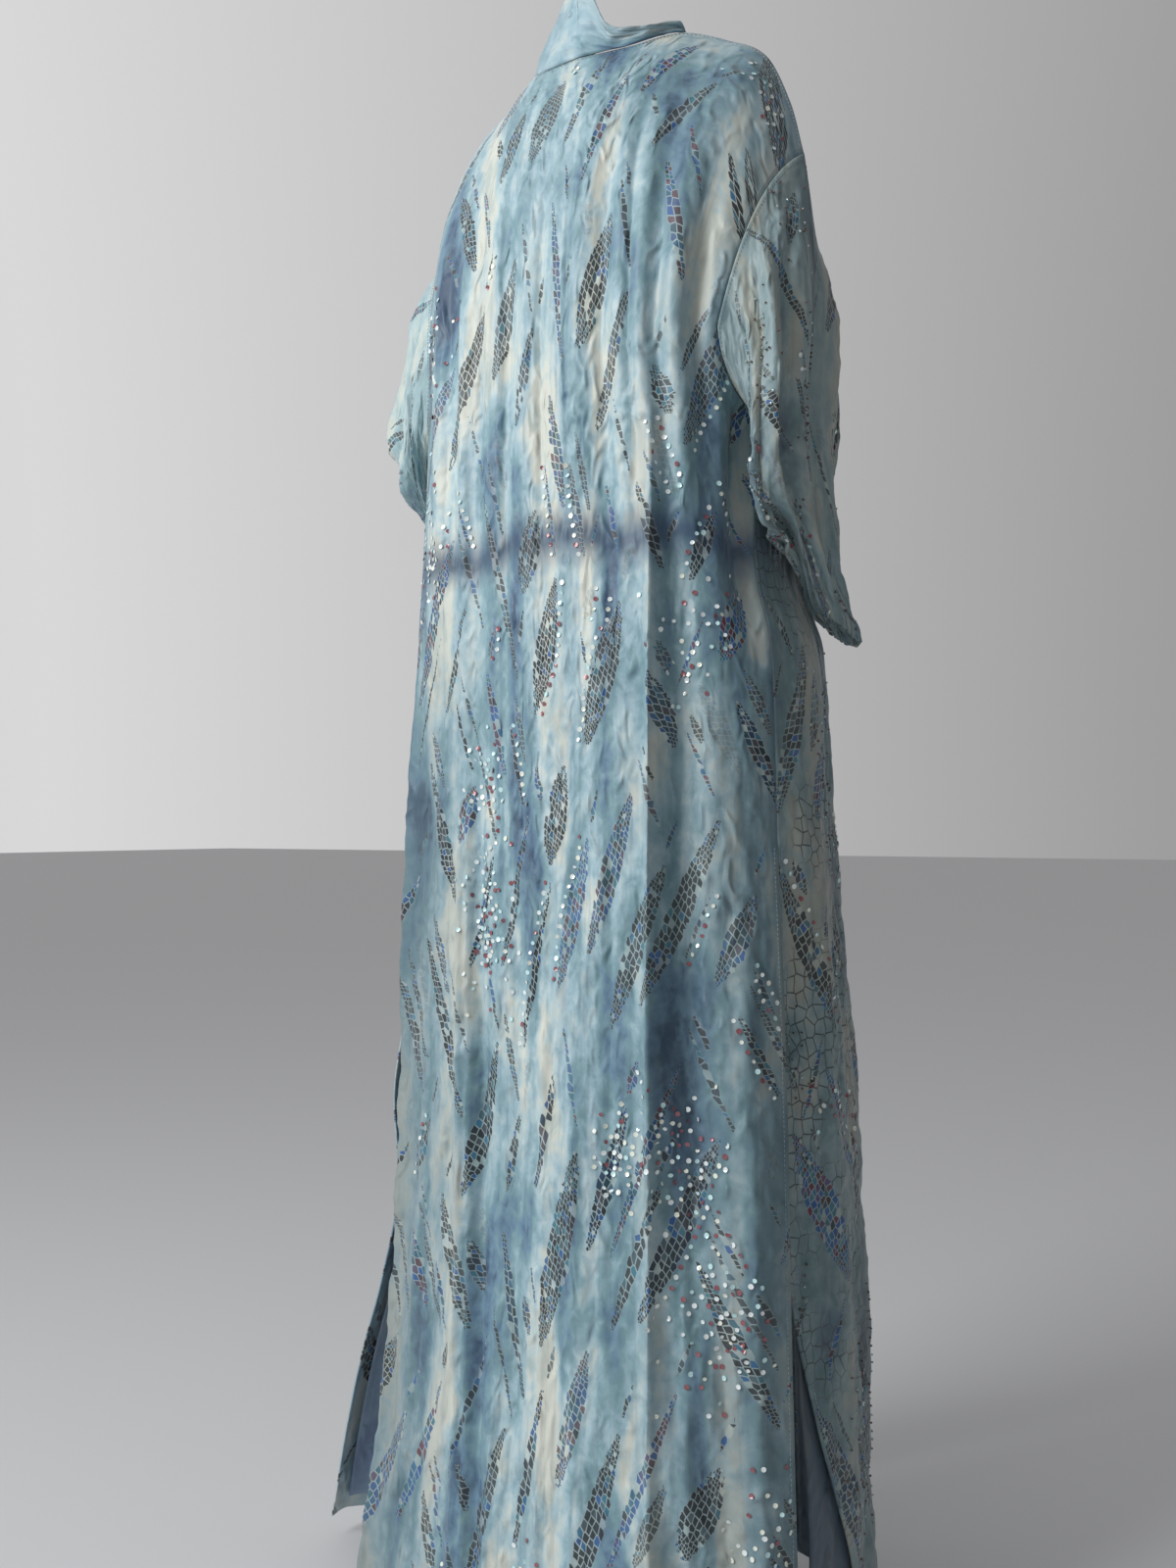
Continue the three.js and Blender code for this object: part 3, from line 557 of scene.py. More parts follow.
# Node helpers for the materials
class Shader:
    def __init__(self, name):
        self.material = bpy.data.materials.new(name)
        self.material.use_nodes = True
        self.tree = self.material.node_tree
        self.tree.nodes.clear()
        output = self.add("ShaderNodeOutputMaterial")
        self.surface = self.add("ShaderNodeBsdfPrincipled")
        self.link(self.surface.outputs[0], output.inputs[0])

    def add(self, kind, inputs=None, **settings):
        node = self.tree.nodes.new(kind)
        for key, value in settings.items():
            setattr(node, key, value)
        for key, value in (inputs or {}).items():
            self.feed(value, node.inputs[key])
        return node

    def link(self, source, target):
        self.tree.links.new(source, target)

    def feed(self, value, target):
        if isinstance(value, bpy.types.NodeSocket):
            self.link(value, target)
        else:
            target.default_value = value

    def math(self, operation, a, b=0.0):
        node = self.add("ShaderNodeMath", operation=operation)
        self.feed(a, node.inputs[0])
        self.feed(b, node.inputs[1])
        return node.outputs[0]

    def stretch(self, vector, scale, offset=(0, 0, 0)):
        node = self.add("ShaderNodeMapping")
        self.feed(vector, node.inputs["Vector"])
        node.inputs["Scale"].default_value = scale
        node.inputs["Location"].default_value = offset
        return node.outputs[0]

    def noise(self, vector, scale=1.0, detail=3.0, roughness=0.5, distortion=0.0):
        node = self.add("ShaderNodeTexNoise", {
            "Vector": vector, "Scale": scale, "Detail": detail, "Roughness": roughness,
            "Distortion": distortion})
        return node.outputs["Fac"]

    def ramp(self, value, stops):
        node = self.add("ShaderNodeValToRGB")
        entries = node.color_ramp.elements
        while len(entries) < len(stops):
            entries.new(0.5)
        for entry, (at, color) in zip(entries, stops):
            entry.position = at
            entry.color = (*color, 1)
        self.feed(value, node.inputs[0])
        return node.outputs[0]

    def blend(self, share, first, second):
        node = self.add("ShaderNodeMix", data_type="RGBA")
        self.feed(share, node.inputs[0])
        self.feed(first, node.inputs[6])
        self.feed(second, node.inputs[7])
        return node.outputs[2]

    def window(self, value, low, high):
        node = self.add("ShaderNodeMapRange", {"Value": value, "From Min": low, "From Max": high})
        return node.outputs[0]


def rgb(*values):
    return tuple(((v / 255 + 0.055) / 1.055) ** 2.4 if v > 10 else v / 255 / 12.92 for v in values)


# The dyed silk: long streaks of ivory, pale blue, slate and teal grey, and a soft dark band at the waist; on
# the back it also gets painted shade, a dark teal grey over its right side and its lower left, deeper lower
# down
dyeAndPaintedShadeColors = {
    "ivory": rgb(216, 219, 208), "mist": rgb(190, 210, 213), "pale": rgb(160, 189, 200),
    "slate": rgb(110, 141, 164), "teal": rgb(130, 164, 172), "deep": rgb(62, 84, 110),
    "paintedShade": rgb(84, 106, 114), "paintedShadeRight": (-0.1, -0.27), "paintedShadeLeft": (0.05, 0.19),
    "paintedShadeSpan": (-0.52, -0.8), "paintedShadeDepth": 0.45, "paintedShadeLowExtra": 0.3, "paintedShadeLeftDepth": 0.6,
    "waistDepth": 0.85, "waistAt": -0.512, "waistHalf": 0.017,
}


# Noise on the flat cloth in metres: scale, offset, detail, roughness, distortion
dyeLayers = {
    "streaks": ((21.0, 2.6, 1), (3.1, 0.7, 0), 3, 0.5, 0.5),
    "patches": ((11.0, 6.0, 1), (0.4, 5.2, 0), 3, 0.5, 0.8),
    "mottle": ((95.0, 70.0, 1), (1.4, 2.2, 0), 4, 0.6, 0.4),
    "blots": ((30.0, 17.0, 1), (9.0, 2.0, 0), 4, 0.58, 0.9),
    "lines": ((38.0, 1.1, 1), (6.0, 1.3, 0), 2, 0.5, 0.4),
}
dyeTones = [(0.36, "deep"), (0.42, "slate"), (0.465, "teal"),
            (0.505, "pale"), (0.545, "mist"), (0.59, "ivory")]


def dyedGroundAndPaintedShade(shader, cloth, waist=True, paintedShade=False):
    layers = {}
    for name, (scale, offset, *detail) in dyeLayers.items():
        layers[name] = shader.noise(shader.stretch(cloth, scale, offset), 1.0, *detail)
    tone = shader.math("ADD", shader.math("MULTIPLY", layers["streaks"], 0.55),
                       shader.math("MULTIPLY", layers["patches"], 0.45))
    mottle = shader.math("SUBTRACT", layers["mottle"], 0.5)
    tone = shader.math("ADD", tone, shader.math("MULTIPLY", mottle, 0.16))
    color = shader.ramp(tone, [(at, dyeAndPaintedShadeColors[word]) for at, word in dyeTones])
    blots = shader.math("MULTIPLY", shader.window(layers["blots"], 0.5, 0.66), 0.4)
    color = shader.blend(blots, color, (*dyeAndPaintedShadeColors["teal"], 1))
    apart = shader.math("ABSOLUTE", shader.math("SUBTRACT", layers["lines"], 0.5))
    tide = shader.math("SUBTRACT", 1.0, shader.window(apart, 0.0, 0.035))
    color = shader.blend(shader.math("MULTIPLY", tide, 0.2), color, (*dyeAndPaintedShadeColors["slate"], 1))
    # Painted shade: dark teal grey blended over the right side of the cloth and, lower down, over its left
    # side, where the robe turns away from the light
    if paintedShade:
        side = shader.add("ShaderNodeSeparateXYZ", {"Vector": cloth}).outputs[0]
        edge = shader.noise(shader.stretch(cloth, (8, 4, 1)), 1.0, 3)
        side = shader.math("ADD", side, shader.math("MULTIPLY", shader.math("SUBTRACT", edge, 0.5), 0.1))
        down = shader.add("ShaderNodeSeparateXYZ", {"Vector": cloth}).outputs[1]
        low = shader.window(down, *dyeAndPaintedShadeColors["paintedShadeSpan"])
        depth = shader.math("ADD", shader.math("MULTIPLY", low, dyeAndPaintedShadeColors["paintedShadeLowExtra"]), dyeAndPaintedShadeColors["paintedShadeDepth"])
        right = shader.math("MULTIPLY", shader.window(side, *dyeAndPaintedShadeColors["paintedShadeRight"]), depth)
        left = shader.math("MULTIPLY", shader.window(side, *dyeAndPaintedShadeColors["paintedShadeLeft"]),
                           shader.math("MULTIPLY", low, dyeAndPaintedShadeColors["paintedShadeLeftDepth"]))
        color = shader.blend(shader.math("ADD", left, right), color, (*dyeAndPaintedShadeColors["paintedShade"], 1))
    if waist:
        place = shader.add("ShaderNodeSeparateXYZ", {"Vector": cloth}).outputs[1]
        wander = shader.noise(shader.stretch(cloth, (11, 5, 1)), 1.0, 4)
        wander = shader.math("MULTIPLY", shader.math("SUBTRACT", wander, 0.5), 0.06)
        off = shader.math("SUBTRACT", shader.math("ADD", place, wander), dyeAndPaintedShadeColors["waistAt"])
        off = shader.math("ABSOLUTE", off)
        half = dyeAndPaintedShadeColors["waistHalf"]
        band = shader.math("SUBTRACT", 1.0, shader.window(off, half * 0.2, half * 1.8))
        color = shader.blend(shader.math("MULTIPLY", band, dyeAndPaintedShadeColors["waistDepth"]), color,
                             (*dyeAndPaintedShadeColors["deep"], 1))
    return color


scaleColors = {
    "ink": rgb(28, 34, 44), "smoke": rgb(78, 90, 98), "royal": rgb(34, 86, 150), "sea": rgb(46, 116, 136),
    "wine": rgb(104, 44, 66), "cream": rgb(206, 214, 204),
    "plain": [(0.1, "ink"), (0.62, "ink"), (0.78, "smoke"), (0.9, "sea"), (0.97, "royal")],
    "bright": [(0.15, "royal"), (0.45, "sea"), (0.6, "ink"), (0.8, "wine"), (0.95, "royal")],
    "cover": 0.96, "missing": 0.07, "gap": (0.035, 0.11),
}


# Pebble scales: a Voronoi in each leaf's own coordinates, cut to whole rows
def scalePrint(shader, ground):
    leaf = shader.add("ShaderNodeAttribute", attribute_name="leaf").outputs["Vector"]
    kind = shader.add("ShaderNodeSeparateColor", {
        "Color": shader.add("ShaderNodeAttribute", attribute_name="leafKind").outputs["Color"]})
    place = shader.stretch(leaf, (0.78, 1, 0), (0, leafSizes["jitter"] / 2 - 0.5, 0))
    settings = {"Vector": place, "Scale": 1.0, "Randomness": leafSizes["jitter"]}
    cells = shader.add("ShaderNodeTexVoronoi", settings, voronoi_dimensions="2D")
    edges = shader.add("ShaderNodeTexVoronoi", settings, voronoi_dimensions="2D", feature="DISTANCE_TO_EDGE")
    chance = shader.add("ShaderNodeSeparateColor", {"Color": cells.outputs["Color"]}).outputs[0]
    centre = shader.add("ShaderNodeSeparateXYZ", {"Vector": cells.outputs["Position"]}).outputs[1]
    row = shader.math("MODULO", centre, leafSizes["rowLimit"])
    rows = shader.math("SUBTRACT", shader.math("MULTIPLY", kind.outputs[2], 10.0), 0.4)
    room = shader.add("ShaderNodeSeparateXYZ", {"Vector": leaf}).outputs[2]
    inside = shader.math("LESS_THAN", row, rows)
    inside = shader.math("MULTIPLY", inside, shader.math("GREATER_THAN", room, 0.02))
    kept = shader.math("GREATER_THAN", chance, scaleColors["missing"])
    fill = shader.window(edges.outputs["Distance"], *scaleColors["gap"])
    cell = shader.math("MULTIPLY", fill, shader.math("MULTIPLY", inside, kept))
    plain, bright = (shader.ramp(chance, [(at, scaleColors[word]) for at, word in scaleColors[look]])
                     for look in ("plain", "bright"))
    color = shader.blend(shader.window(kind.outputs[0], 0.1, 0.8), plain, bright)
    pale = shader.math("MULTIPLY", shader.math("MULTIPLY", inside, kind.outputs[1]), 0.35)
    ground = shader.blend(pale, ground, (*scaleColors["cream"], 1))
    share = shader.math("MULTIPLY", shader.math("MULTIPLY", cell, kind.outputs[1]), scaleColors["cover"])
    return shader.blend(share, ground, color)


silkFinish = {
    "roughness": 0.44, "specular": 0.4, "sheen": 0.2, "sheenRoughness": 0.4,
    "weaveHeight": 0.12, "crinkleHeight": 0.9, "crinkleDepth": 0.005,
}


def finishSilk(shader, color, cloth):
    surface = shader.surface
    shader.feed(color, surface.inputs["Base Color"])
    tone = shader.noise(shader.stretch(cloth, (60, 22, 1)), 1.0, 3)
    rough = shader.math("ADD", shader.math("MULTIPLY", tone, 0.16), silkFinish["roughness"] - 0.08)
    shader.feed(rough, surface.inputs["Roughness"])
    surface.inputs["Specular IOR Level"].default_value = silkFinish["specular"]
    surface.inputs["Sheen Weight"].default_value = silkFinish["sheen"]
    surface.inputs["Sheen Roughness"].default_value = silkFinish["sheenRoughness"]
    ridges = shader.add("ShaderNodeTexNoise", {
        "Vector": shader.stretch(cloth, (70, 38, 1)), "Scale": 1.0, "Detail": 4.0, "Roughness": 0.6,
        "Distortion": 0.5}, noise_type="RIDGED_MULTIFRACTAL")
    crinkles = shader.add("ShaderNodeBump", {
        "Strength": silkFinish["crinkleHeight"], "Distance": silkFinish["crinkleDepth"],
        "Height": ridges.outputs["Fac"]})
    threads = shader.add("ShaderNodeTexWave", {
        "Vector": cloth, "Scale": 260.0, "Distortion": 1.5, "Detail": 1.0}, bands_direction="X")
    weave = shader.add("ShaderNodeBump", {
        "Strength": silkFinish["weaveHeight"], "Distance": 0.0004, "Height": threads.outputs["Fac"],
        "Normal": crinkles.outputs[0]})
    shader.link(weave.outputs[0], surface.inputs["Normal"])


def clothCoordinates(shader):
    return shader.add("ShaderNodeUVMap", uv_map="cloth").outputs[0]


# A net of thin lines that comes and goes, on the right front
netLook = {"mesh": 105.0, "line": 0.05, "color": rgb(44, 52, 56), "depth": 0.75}


def netPrint(shader, cloth, ground):
    bent = shader.stretch(cloth, (netLook["mesh"], netLook["mesh"] * 0.7, 0))
    edges = shader.add("ShaderNodeTexVoronoi", {"Vector": bent, "Scale": 1.0, "Randomness": 0.6},
                       voronoi_dimensions="2D", feature="DISTANCE_TO_EDGE")
    line = shader.math("LESS_THAN", edges.outputs["Distance"], netLook["line"])
    where = shader.window(shader.noise(shader.stretch(cloth, (9, 5, 1), (2, 7, 0)), 1.0, 3), 0.47, 0.53)
    share = shader.math("MULTIPLY", shader.math("MULTIPLY", line, where), netLook["depth"])
    return shader.blend(share, ground, (*netLook["color"], 1))


def printedSilk(name, waist=True, tintAndPaintedShade=None, share=0.0, paintedShade=False, net=False):
    shader = Shader(name)
    cloth = clothCoordinates(shader)
    ground = dyedGroundAndPaintedShade(shader, cloth, waist, paintedShade)
    # The tint is the cloth's own colour on the left pieces and painted shade on the right ones
    if tintAndPaintedShade:
        ground = shader.blend(share, ground, (*tintAndPaintedShade, 1))
    if net:
        ground = netPrint(shader, cloth, ground)
    finishSilk(shader, scalePrint(shader, ground), cloth)
    return shader.material


def plainSilk(name, tintAndPaintedShade, share):
    shader = Shader(name)
    cloth = clothCoordinates(shader)
    # The tint is the cloth's own colour, except on the right lining where it is painted shade
    color = shader.blend(share, dyedGroundAndPaintedShade(shader, cloth, waist=False), (*tintAndPaintedShade, 1))
    finishSilk(shader, color, cloth)
    return shader.material


# The tone of a sequin, bead or stitch is an attribute of its points
def glintMaterial(name, metallic, roughness):
    shader = Shader(name)
    shader.link(shader.add("ShaderNodeAttribute", attribute_name="tone").outputs["Color"],
                shader.surface.inputs["Base Color"])
    shader.surface.inputs["Metallic"].default_value = metallic
    shader.surface.inputs["Roughness"].default_value = roughness
    shader.surface.inputs["Coat Weight"].default_value = 0.6
    return shader.material


# Sizes in millimetres; each kind's shape is made once, one unit in radius, and then copied to every place
sequins = {
    "radius": (1.7, 2.5), "lift": 0.25, "tilt": 0.22, "apart": 4.9, "thick": 0.3, "rim": 0.6, "cup": 0.18,
    "tones": [rgb(244, 252, 252), rgb(212, 248, 250), rgb(246, 250, 236), rgb(244, 252, 252),
              rgb(150, 92, 100)],
    "material": glintMaterial("sequin", 0.1, 0.18),
}
beads = {
    "radius": (0.9, 1.4), "lift": 0.1, "tilt": 0.1, "apart": 3.4, "high": 2.1,
    "tones": [rgb(86, 70, 66), rgb(190, 206, 206), rgb(120, 96, 92)],
    "material": glintMaterial("bead", 0.2, 0.25),
}
threads = {
    "long": 2.5, "apart": 4.0, "wide": 0.56, "high": 0.45, "lift": 0.05, "taper": 0.7,
    "tone": rgb(150, 172, 180), "material": glintMaterial("thread", 0.0, 0.6),
}


def sequinShape():
    bm = bmesh.new()
    bmesh.ops.create_cone(bm, cap_ends=True, segments=8, radius1=0.94, radius2=1, depth=sequins["thick"])
    bm.faces.ensure_lookup_table()
    top = max(bm.faces, key=lambda face: face.calc_center_median().z)
    bmesh.ops.inset_individual(bm, faces=[top], thickness=sequins["rim"], depth=-sequins["cup"])
    return bm


def beadShape():
    bm = bmesh.new()
    bmesh.ops.create_uvsphere(bm, u_segments=6, v_segments=4, radius=1)
    bmesh.ops.scale(bm, verts=bm.verts, vec=(1, 1, beads["high"] / 2))
    bmesh.ops.translate(bm, verts=bm.verts, vec=(0, 0, beads["high"] / 2))
    return bm


def stitchShape():
    bm = bmesh.new()
    bmesh.ops.create_cube(bm, size=1)
    bmesh.ops.translate(bm, verts=bm.verts, vec=(0, 0, 0.5))
    top = [vert for vert in bm.verts if vert.co.z > 0.5]
    bmesh.ops.scale(bm, verts=top, vec=(threads["taper"], threads["taper"], 1))
    return bm


sequins["shape"], beads["shape"], threads["shape"] = sequinShape(), beadShape(), stitchShape()


# Joins copies of one small shape into a single mesh; axes are the copies' own, already to scale
def copyShape(name, kind, origins, axes, tones):
    shape = kind["shape"]
    shape.verts.index_update()
    corners = np.array([tuple(vert.co) for vert in shape.verts])
    loops = [[vert.index for vert in face.verts] for face in shape.faces]
    vertices = np.einsum("kj,njx->nkx", corners, axes) + origins[:, None]
    faces = [[index + n * len(corners) for index in loop] for n in range(len(origins)) for loop in loops]
    mesh = bpy.data.meshes.new(name)
    mesh.from_pydata(vertices.reshape(-1, 3) * metres, [], faces)
    colors = np.repeat(np.column_stack([tones, np.ones(len(tones))]), len(corners), axis=0)
    mesh.attributes.new("tone", "FLOAT_COLOR", "POINT").data.foreach_set("color", colors.ravel())
    mesh.materials.append(kind["material"])
    piece = bpy.data.objects.new(name, mesh)
    bpy.context.collection.objects.link(piece)
    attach(piece, "root")
    return piece


# A panel's outward direction at places in its own coordinates
def outwardAt(place, a, b, turn):
    step = 0.003
    right = place(a + step, b) - place(a - step, b)
    below = place(a, b + step) - place(a, b - step)
    return unit(np.cross(right, below)) * turn


# Places on the flat cloth in clusters and along leaves, none closer together than the kind allows
def scatterPlaces(leaves, kind, chance, clusters, rows):
    places = []
    for _ in range(clusters[0]):
        leaf = chance.choice(leaves)
        middle = leaf["points"][len(leaf["points"]) // 3]
        spread = chance.uniform(*clusters[2])
        places += [(middle[0] + chance.gauss(0, spread * 0.6), middle[1] + chance.gauss(0, spread))
                   for _ in range(clusters[1])]
    for _ in range(rows[0]):
        leaf = chance.choice(leaves)
        side = chance.choice((-1, 1))
        for k in range(0, len(leaf["points"]), rows[1]):
            offset = side * (leaf["half"][k] + chance.uniform(2, 5))
            x, y = leaf["points"][k]
            places.append((x - leaf["tangent"][1] * offset, y + leaf["tangent"][0] * offset))
    kept = []
    for place in places:
        if all(math.hypot(place[0] - x, place[1] - y) > kind["apart"] for x, y in kept):
            kept.append(place)
    return np.array(kept)


# Sews one kind of bit to a panel: unflat turns places on the flat cloth into the panel's own coordinates
def sewOn(name, kind, seed, places, unflat, place, turn):
    a, b = unflat(places[:, 0], places[:, 1])
    inside = (a > 0.012) & (a < 0.988) & (b > 0.02) & (b < 0.99)
    a, b = a[inside], b[inside]
    normals = outwardAt(place, a, b, turn)
    draws = np.random.default_rng(seed)
    up = unit(normals + draws.normal(0, kind["tilt"], normals.shape))
    right = unit(np.cross(up, draws.normal(size=normals.shape)))
    radius = draws.uniform(*kind["radius"], len(a))[:, None]
    tones = np.array(kind["tones"])[draws.integers(len(kind["tones"]), size=len(a))]
    origins = place(a, b) + normals * (kind["lift"] + radius * kind["tilt"])
    axes = np.stack([right * radius, np.cross(up, right) * radius, up], 1)
    return copyShape(name, kind, origins, axes, tones)


# Rows of small stitches along lines of a panel: each line is a list of places in the panel's coordinates
def stitchRows(name, lines, place, turn):
    origins, axes = [], []
    for a, b in lines:
        run = np.concatenate([[0], np.cumsum(np.linalg.norm(np.diff(place(a, b), axis=0), axis=1))])
        at = np.arange(threads["apart"], run[-1] - threads["apart"], threads["apart"])
        lineA, lineB = np.interp(at, run, a), np.interp(at, run, b)
        up = outwardAt(place, lineA, lineB, turn)
        middles = place(lineA, lineB) + up * threads["lift"]
        along = unit(np.gradient(middles, axis=0))
        across = unit(np.cross(up, along))
        origins.append(middles)
        axes.append(np.stack([along * threads["long"], across * threads["wide"], up * threads["high"]], 1))
    origins, axes = np.concatenate(origins), np.concatenate(axes)
    return copyShape(name, threads, origins, axes, np.tile(threads["tone"], (len(origins), 1)))


# The silks of every panel: the right front, right sleeve and right lining are blended far towards dark grey
# as painted shade for the side away from the window, the left pieces' tints are the cloth's own colours, and
# the back's silk carries painted shade on its right and lower left
silks = {
    "body": printedSilk("printed silk", paintedShade=True),
    "frontLeft": printedSilk("left front silk", tintAndPaintedShade=rgb(150, 180, 200), share=0.35),
    "frontRight": printedSilk("right front silk in painted shade", tintAndPaintedShade=rgb(88, 102, 100), share=0.55, net=True),
    "sleeveLeft": printedSilk("left sleeve silk", waist=False, tintAndPaintedShade=rgb(176, 196, 192), share=0.3),
    "sleeveRight": printedSilk("right sleeve silk in painted shade", waist=False, tintAndPaintedShade=rgb(112, 122, 116), share=0.5),
    "liningLeft": plainSilk("left lining silk", rgb(142, 160, 196), 0.6),
    "liningRight": plainSilk("right lining silk in painted shade", rgb(58, 70, 88), 0.85),
    "band": plainSilk("band silk", rgb(128, 166, 184), 0.25),
}
print("silks done")

# The back panel
backPiece = {
    "columns": 174, "rows": 280, "flatHalf": 285.0, "fans": 190, "seed": 5,
    "sequins": [(17, 60, (16, 34)), (34, 3)],
    "crumple": [(85, 3.6, 8, 4.0, 3), (40, 2.6, -16, 2.8, 9), (18, 1.8, 30, 1.5, 4)],
}


def makeBack():
    columns = backPiece["columns"] // 1
    rows = backPiece["rows"] // 1

    def flatOf(a, b):
        z = rowPlace(b)[1]
        return np.stack([hangingShare(a * 2 - 1, z) * backPiece["flatHalf"], -b * panelLength], -1)

    def place(a, b):
        def crumple(share, down):
            flat = flatOf(a, b)
            low = 0.25 + 0.75 * ease((down * panelLength - 560) / 300)
            return crushed(flat[:, 0], flat[:, 1], backPiece["crumple"]) * low
        share = a * 2 - 1
        return panelPoints(backSurface, backFolds + fineBackFolds, share, b, 1, 1 - np.abs(share), crumple,
                           hangingShare)

    mesh, flat = gridMesh("back_panel", columns, rows, place, flatOf, inward=True)
    half = backPiece["flatHalf"]
    leaves = layoutLeaves(backPiece["seed"], -half, 2 * half, panelLength, backPiece["fans"])
    writeLeaves(mesh, flat, leaves)

    def unflat(x, y):
        b = -y / panelLength
        return x / half / hangingShare(1, rowPlace(b)[1]) / 2 + 0.5, b
    chance = random.Random(backPiece["seed"])
    glitter = sewOn("backSequins", sequins, 1, scatterPlaces(leaves, sequins, chance, *backPiece["sequins"]),
                    unflat, place, 1)
    level = np.linspace(0.004, 0.996, 500)
    upright = np.linspace(slitFrom, 0.995, 400)
    flat = 0 * level
    seams = stitchRows("backStitches", [
        (level, flat + 1 - hemRoll["deep"] / panelLength), (0 * upright + 0.008, upright),
        (0 * upright + 0.992, upright), (level, flat + 0.004)], place, 1)
    piece = placePanel(mesh, "backPanel", "back_panel", silks["body"], cut["wall"])
    return piece


# The fronts
frontPiece = {
    "columns": 100, "rows": 320, "flatLeft": 400.0, "flatWidth": 250.0, "fans": 84, "seeds": {1: 21, -1: 22},
    "sequins": [(6, 26, (14, 26)), (10, 4)], "beads": [(10, 34, (18, 40)), (12, 3)],
    "crumple": [(75, 3.6, 8, 4.0, 5), (36, 2.4, -16, 2.6, 7), (17, 1.8, 30, 1.4, 4)],
}


def makeFront(side):
    columns = frontPiece["columns"] // 1
    rows = frontPiece["rows"] // 1
    surface = frontSurface(side)
    left, width = frontPiece["flatLeft"], frontPiece["flatWidth"]

    def hang(share, z):
        return hangingFrontShare(side, share, z)

    def flatOf(a, b):
        return np.stack([hang(a, rowPlace(b)[1]) * width + left, -b * panelLength], -1)

    def place(a, b):
        def crumple(share, down):
            flat = flatOf(a, b)
            return crushed(flat[:, 0], flat[:, 1], frontPiece["crumple"]) * (0.35 + 0.65 * ease(down * 3 - 1))
        return panelPoints(surface, frontFolds + fineFrontFolds, a, b, side, a, crumple, hang)

    word = "left" if side > 0 else "right"
    name = "front" + word.title()
    mesh, flat = gridMesh("front_" + word, columns, rows, place, flatOf, inward=side > 0)
    leaves = layoutLeaves(frontPiece["seeds"][side], left, width, panelLength, frontPiece["fans"])
    writeLeaves(mesh, flat, leaves)

    def unflat(x, y):
        b = -y / panelLength
        hung = cut["slitDegrees"] + (x - left) / width * (cut["frontEdgeDegrees"] - cut["slitDegrees"])
        start = np.degrees(frontAngle(side, 0 * b, rowPlace(b)[1])) * side
        return (hung - start) / (cut["frontEdgeDegrees"] - start), b
    chance = random.Random(frontPiece["seeds"][side])
    glitter = [
        sewOn(name + "Sequins", sequins, 2,
              scatterPlaces(leaves, sequins, chance, *frontPiece["sequins"]), unflat, place, side),
        sewOn(name + "Beads", beads, 3,
              scatterPlaces(leaves, beads, chance, *frontPiece["beads"]), unflat, place, side),
    ]
    level = np.linspace(0.01, 0.99, 300)
    upright = np.linspace(slitFrom, 0.995, 400)
    whole = np.linspace(0.04, 0.995, 600)
    glitter.append(stitchRows(name + "Stitches", [
        (level, 0 * level + 1 - hemRoll["deep"] / panelLength), (0 * upright + 0.018, upright),
        (0 * whole + 0.985, whole)], place, side))
    piece = placePanel(mesh, name, "front_" + word, silks[name], cut["wall"])
    return piece


# Right and left sleeves: tubes from the armhole's edge, which fades into the rings
sleevePiece = {
    "columns": 150, "rows": 130, "flatRound": 520.0, "flatLength": 400.0, "fans": 36, "headShare": 0.35,
    "seeds": {1: 31, -1: 32}, "armholePoints": 60,
    "sequins": [(4, 18, (12, 22)), (6, 4)], "beads": [(8, 26, (18, 36)), (6, 3)],
    "crumple": [(70, 2.4, 24, 3.6, 5), (34, 2.0, -24, 2.4, 7), (17, 1.6, 20, 1.3, 4)],
    "cuffRoll": 3.0, "cuffAt": 0.965, "cuffWide": 0.022, "foldEnd": 1.1, "flatLeft": 900,
}
# Each fold's turn at the armhole and at the cuff, height, half width in turns and start along the sleeve
sleeveFolds = {
    -1: [
        (0.165, 0.20, 9, 0.022, 0.03), (0.215, 0.30, -7, 0.03, 0.1), (0.10, 0.13, -6, 0.03, 0.15),
        (0.05, 0.07, 5, 0.03, 0.1), (0.27, 0.38, 6, 0.03, 0.2), (0.0, 0.0, -5, 0.03, 0.25),
        (0.93, 0.9, 6, 0.04, 0.1), (0.84, 0.82, -6, 0.04, 0.1), (0.75, 0.75, 6, 0.04, 0.1),
        (0.33, 0.42, -6, 0.03, 0.3), (0.62, 0.65, -5, 0.04, 0.1),
    ],
    1: [
        (0.12, 0.16, 6, 0.03, 0.05), (0.2, 0.26, -6, 0.03, 0.1), (0.03, 0.05, 6, 0.03, 0.15),
        (0.28, 0.36, 6, 0.03, 0.2), (0.94, 0.92, -6, 0.04, 0.1), (0.84, 0.82, 6, 0.04, 0.1),
        (0.75, 0.73, -6, 0.04, 0.1), (0.64, 0.66, 5, 0.04, 0.1), (0.42, 0.46, -5, 0.04, 0.2),
    ],
}


def ringPoint(rings, share, turn):
    place = share * (len(rings) - 1)
    angle = turn * 2 * math.pi
    values = []
    for axis in range(3):
        rows = [{"k": k, **{side: ring[n][axis] for n, side in enumerate(ringSides)}}
                for k, ring in enumerate(rings)]
        outer, inner, back, front = (readTable(rows, "k", place, side) for side in ringSides)
        values.append((outer + inner + back + front) / 4 + (outer - inner) / 2 * np.cos(angle)
                      + (back - front) / 2 * np.sin(angle))
    return np.stack(values, -1)


# The armhole's edge, down the back and up the front, and a function of the turn round it
def armholeEdge(side):
    steps = sleevePiece["armholePoints"]
    lowest = (yokeLength + cut["chestZ"] - cut["underarmZ"]) / panelLength
    down = np.linspace(0, lowest, steps)
    behind = backSurface(np.full(steps, float(side)), down)
    before = frontSurface(side)(np.zeros(steps), down)[-2:0:-1]
    loop = np.concatenate([behind, before, behind[:1]]) + np.array([side * cut["armholeGap"], 0, 0])
    run = np.concatenate([[0], np.cumsum(np.linalg.norm(np.diff(loop, axis=0), axis=1))])

    def edge(turn):
        return np.stack([np.interp(np.mod(turn, 1), run / run[-1], loop[:, axis]) for axis in range(3)], -1)
    return edge


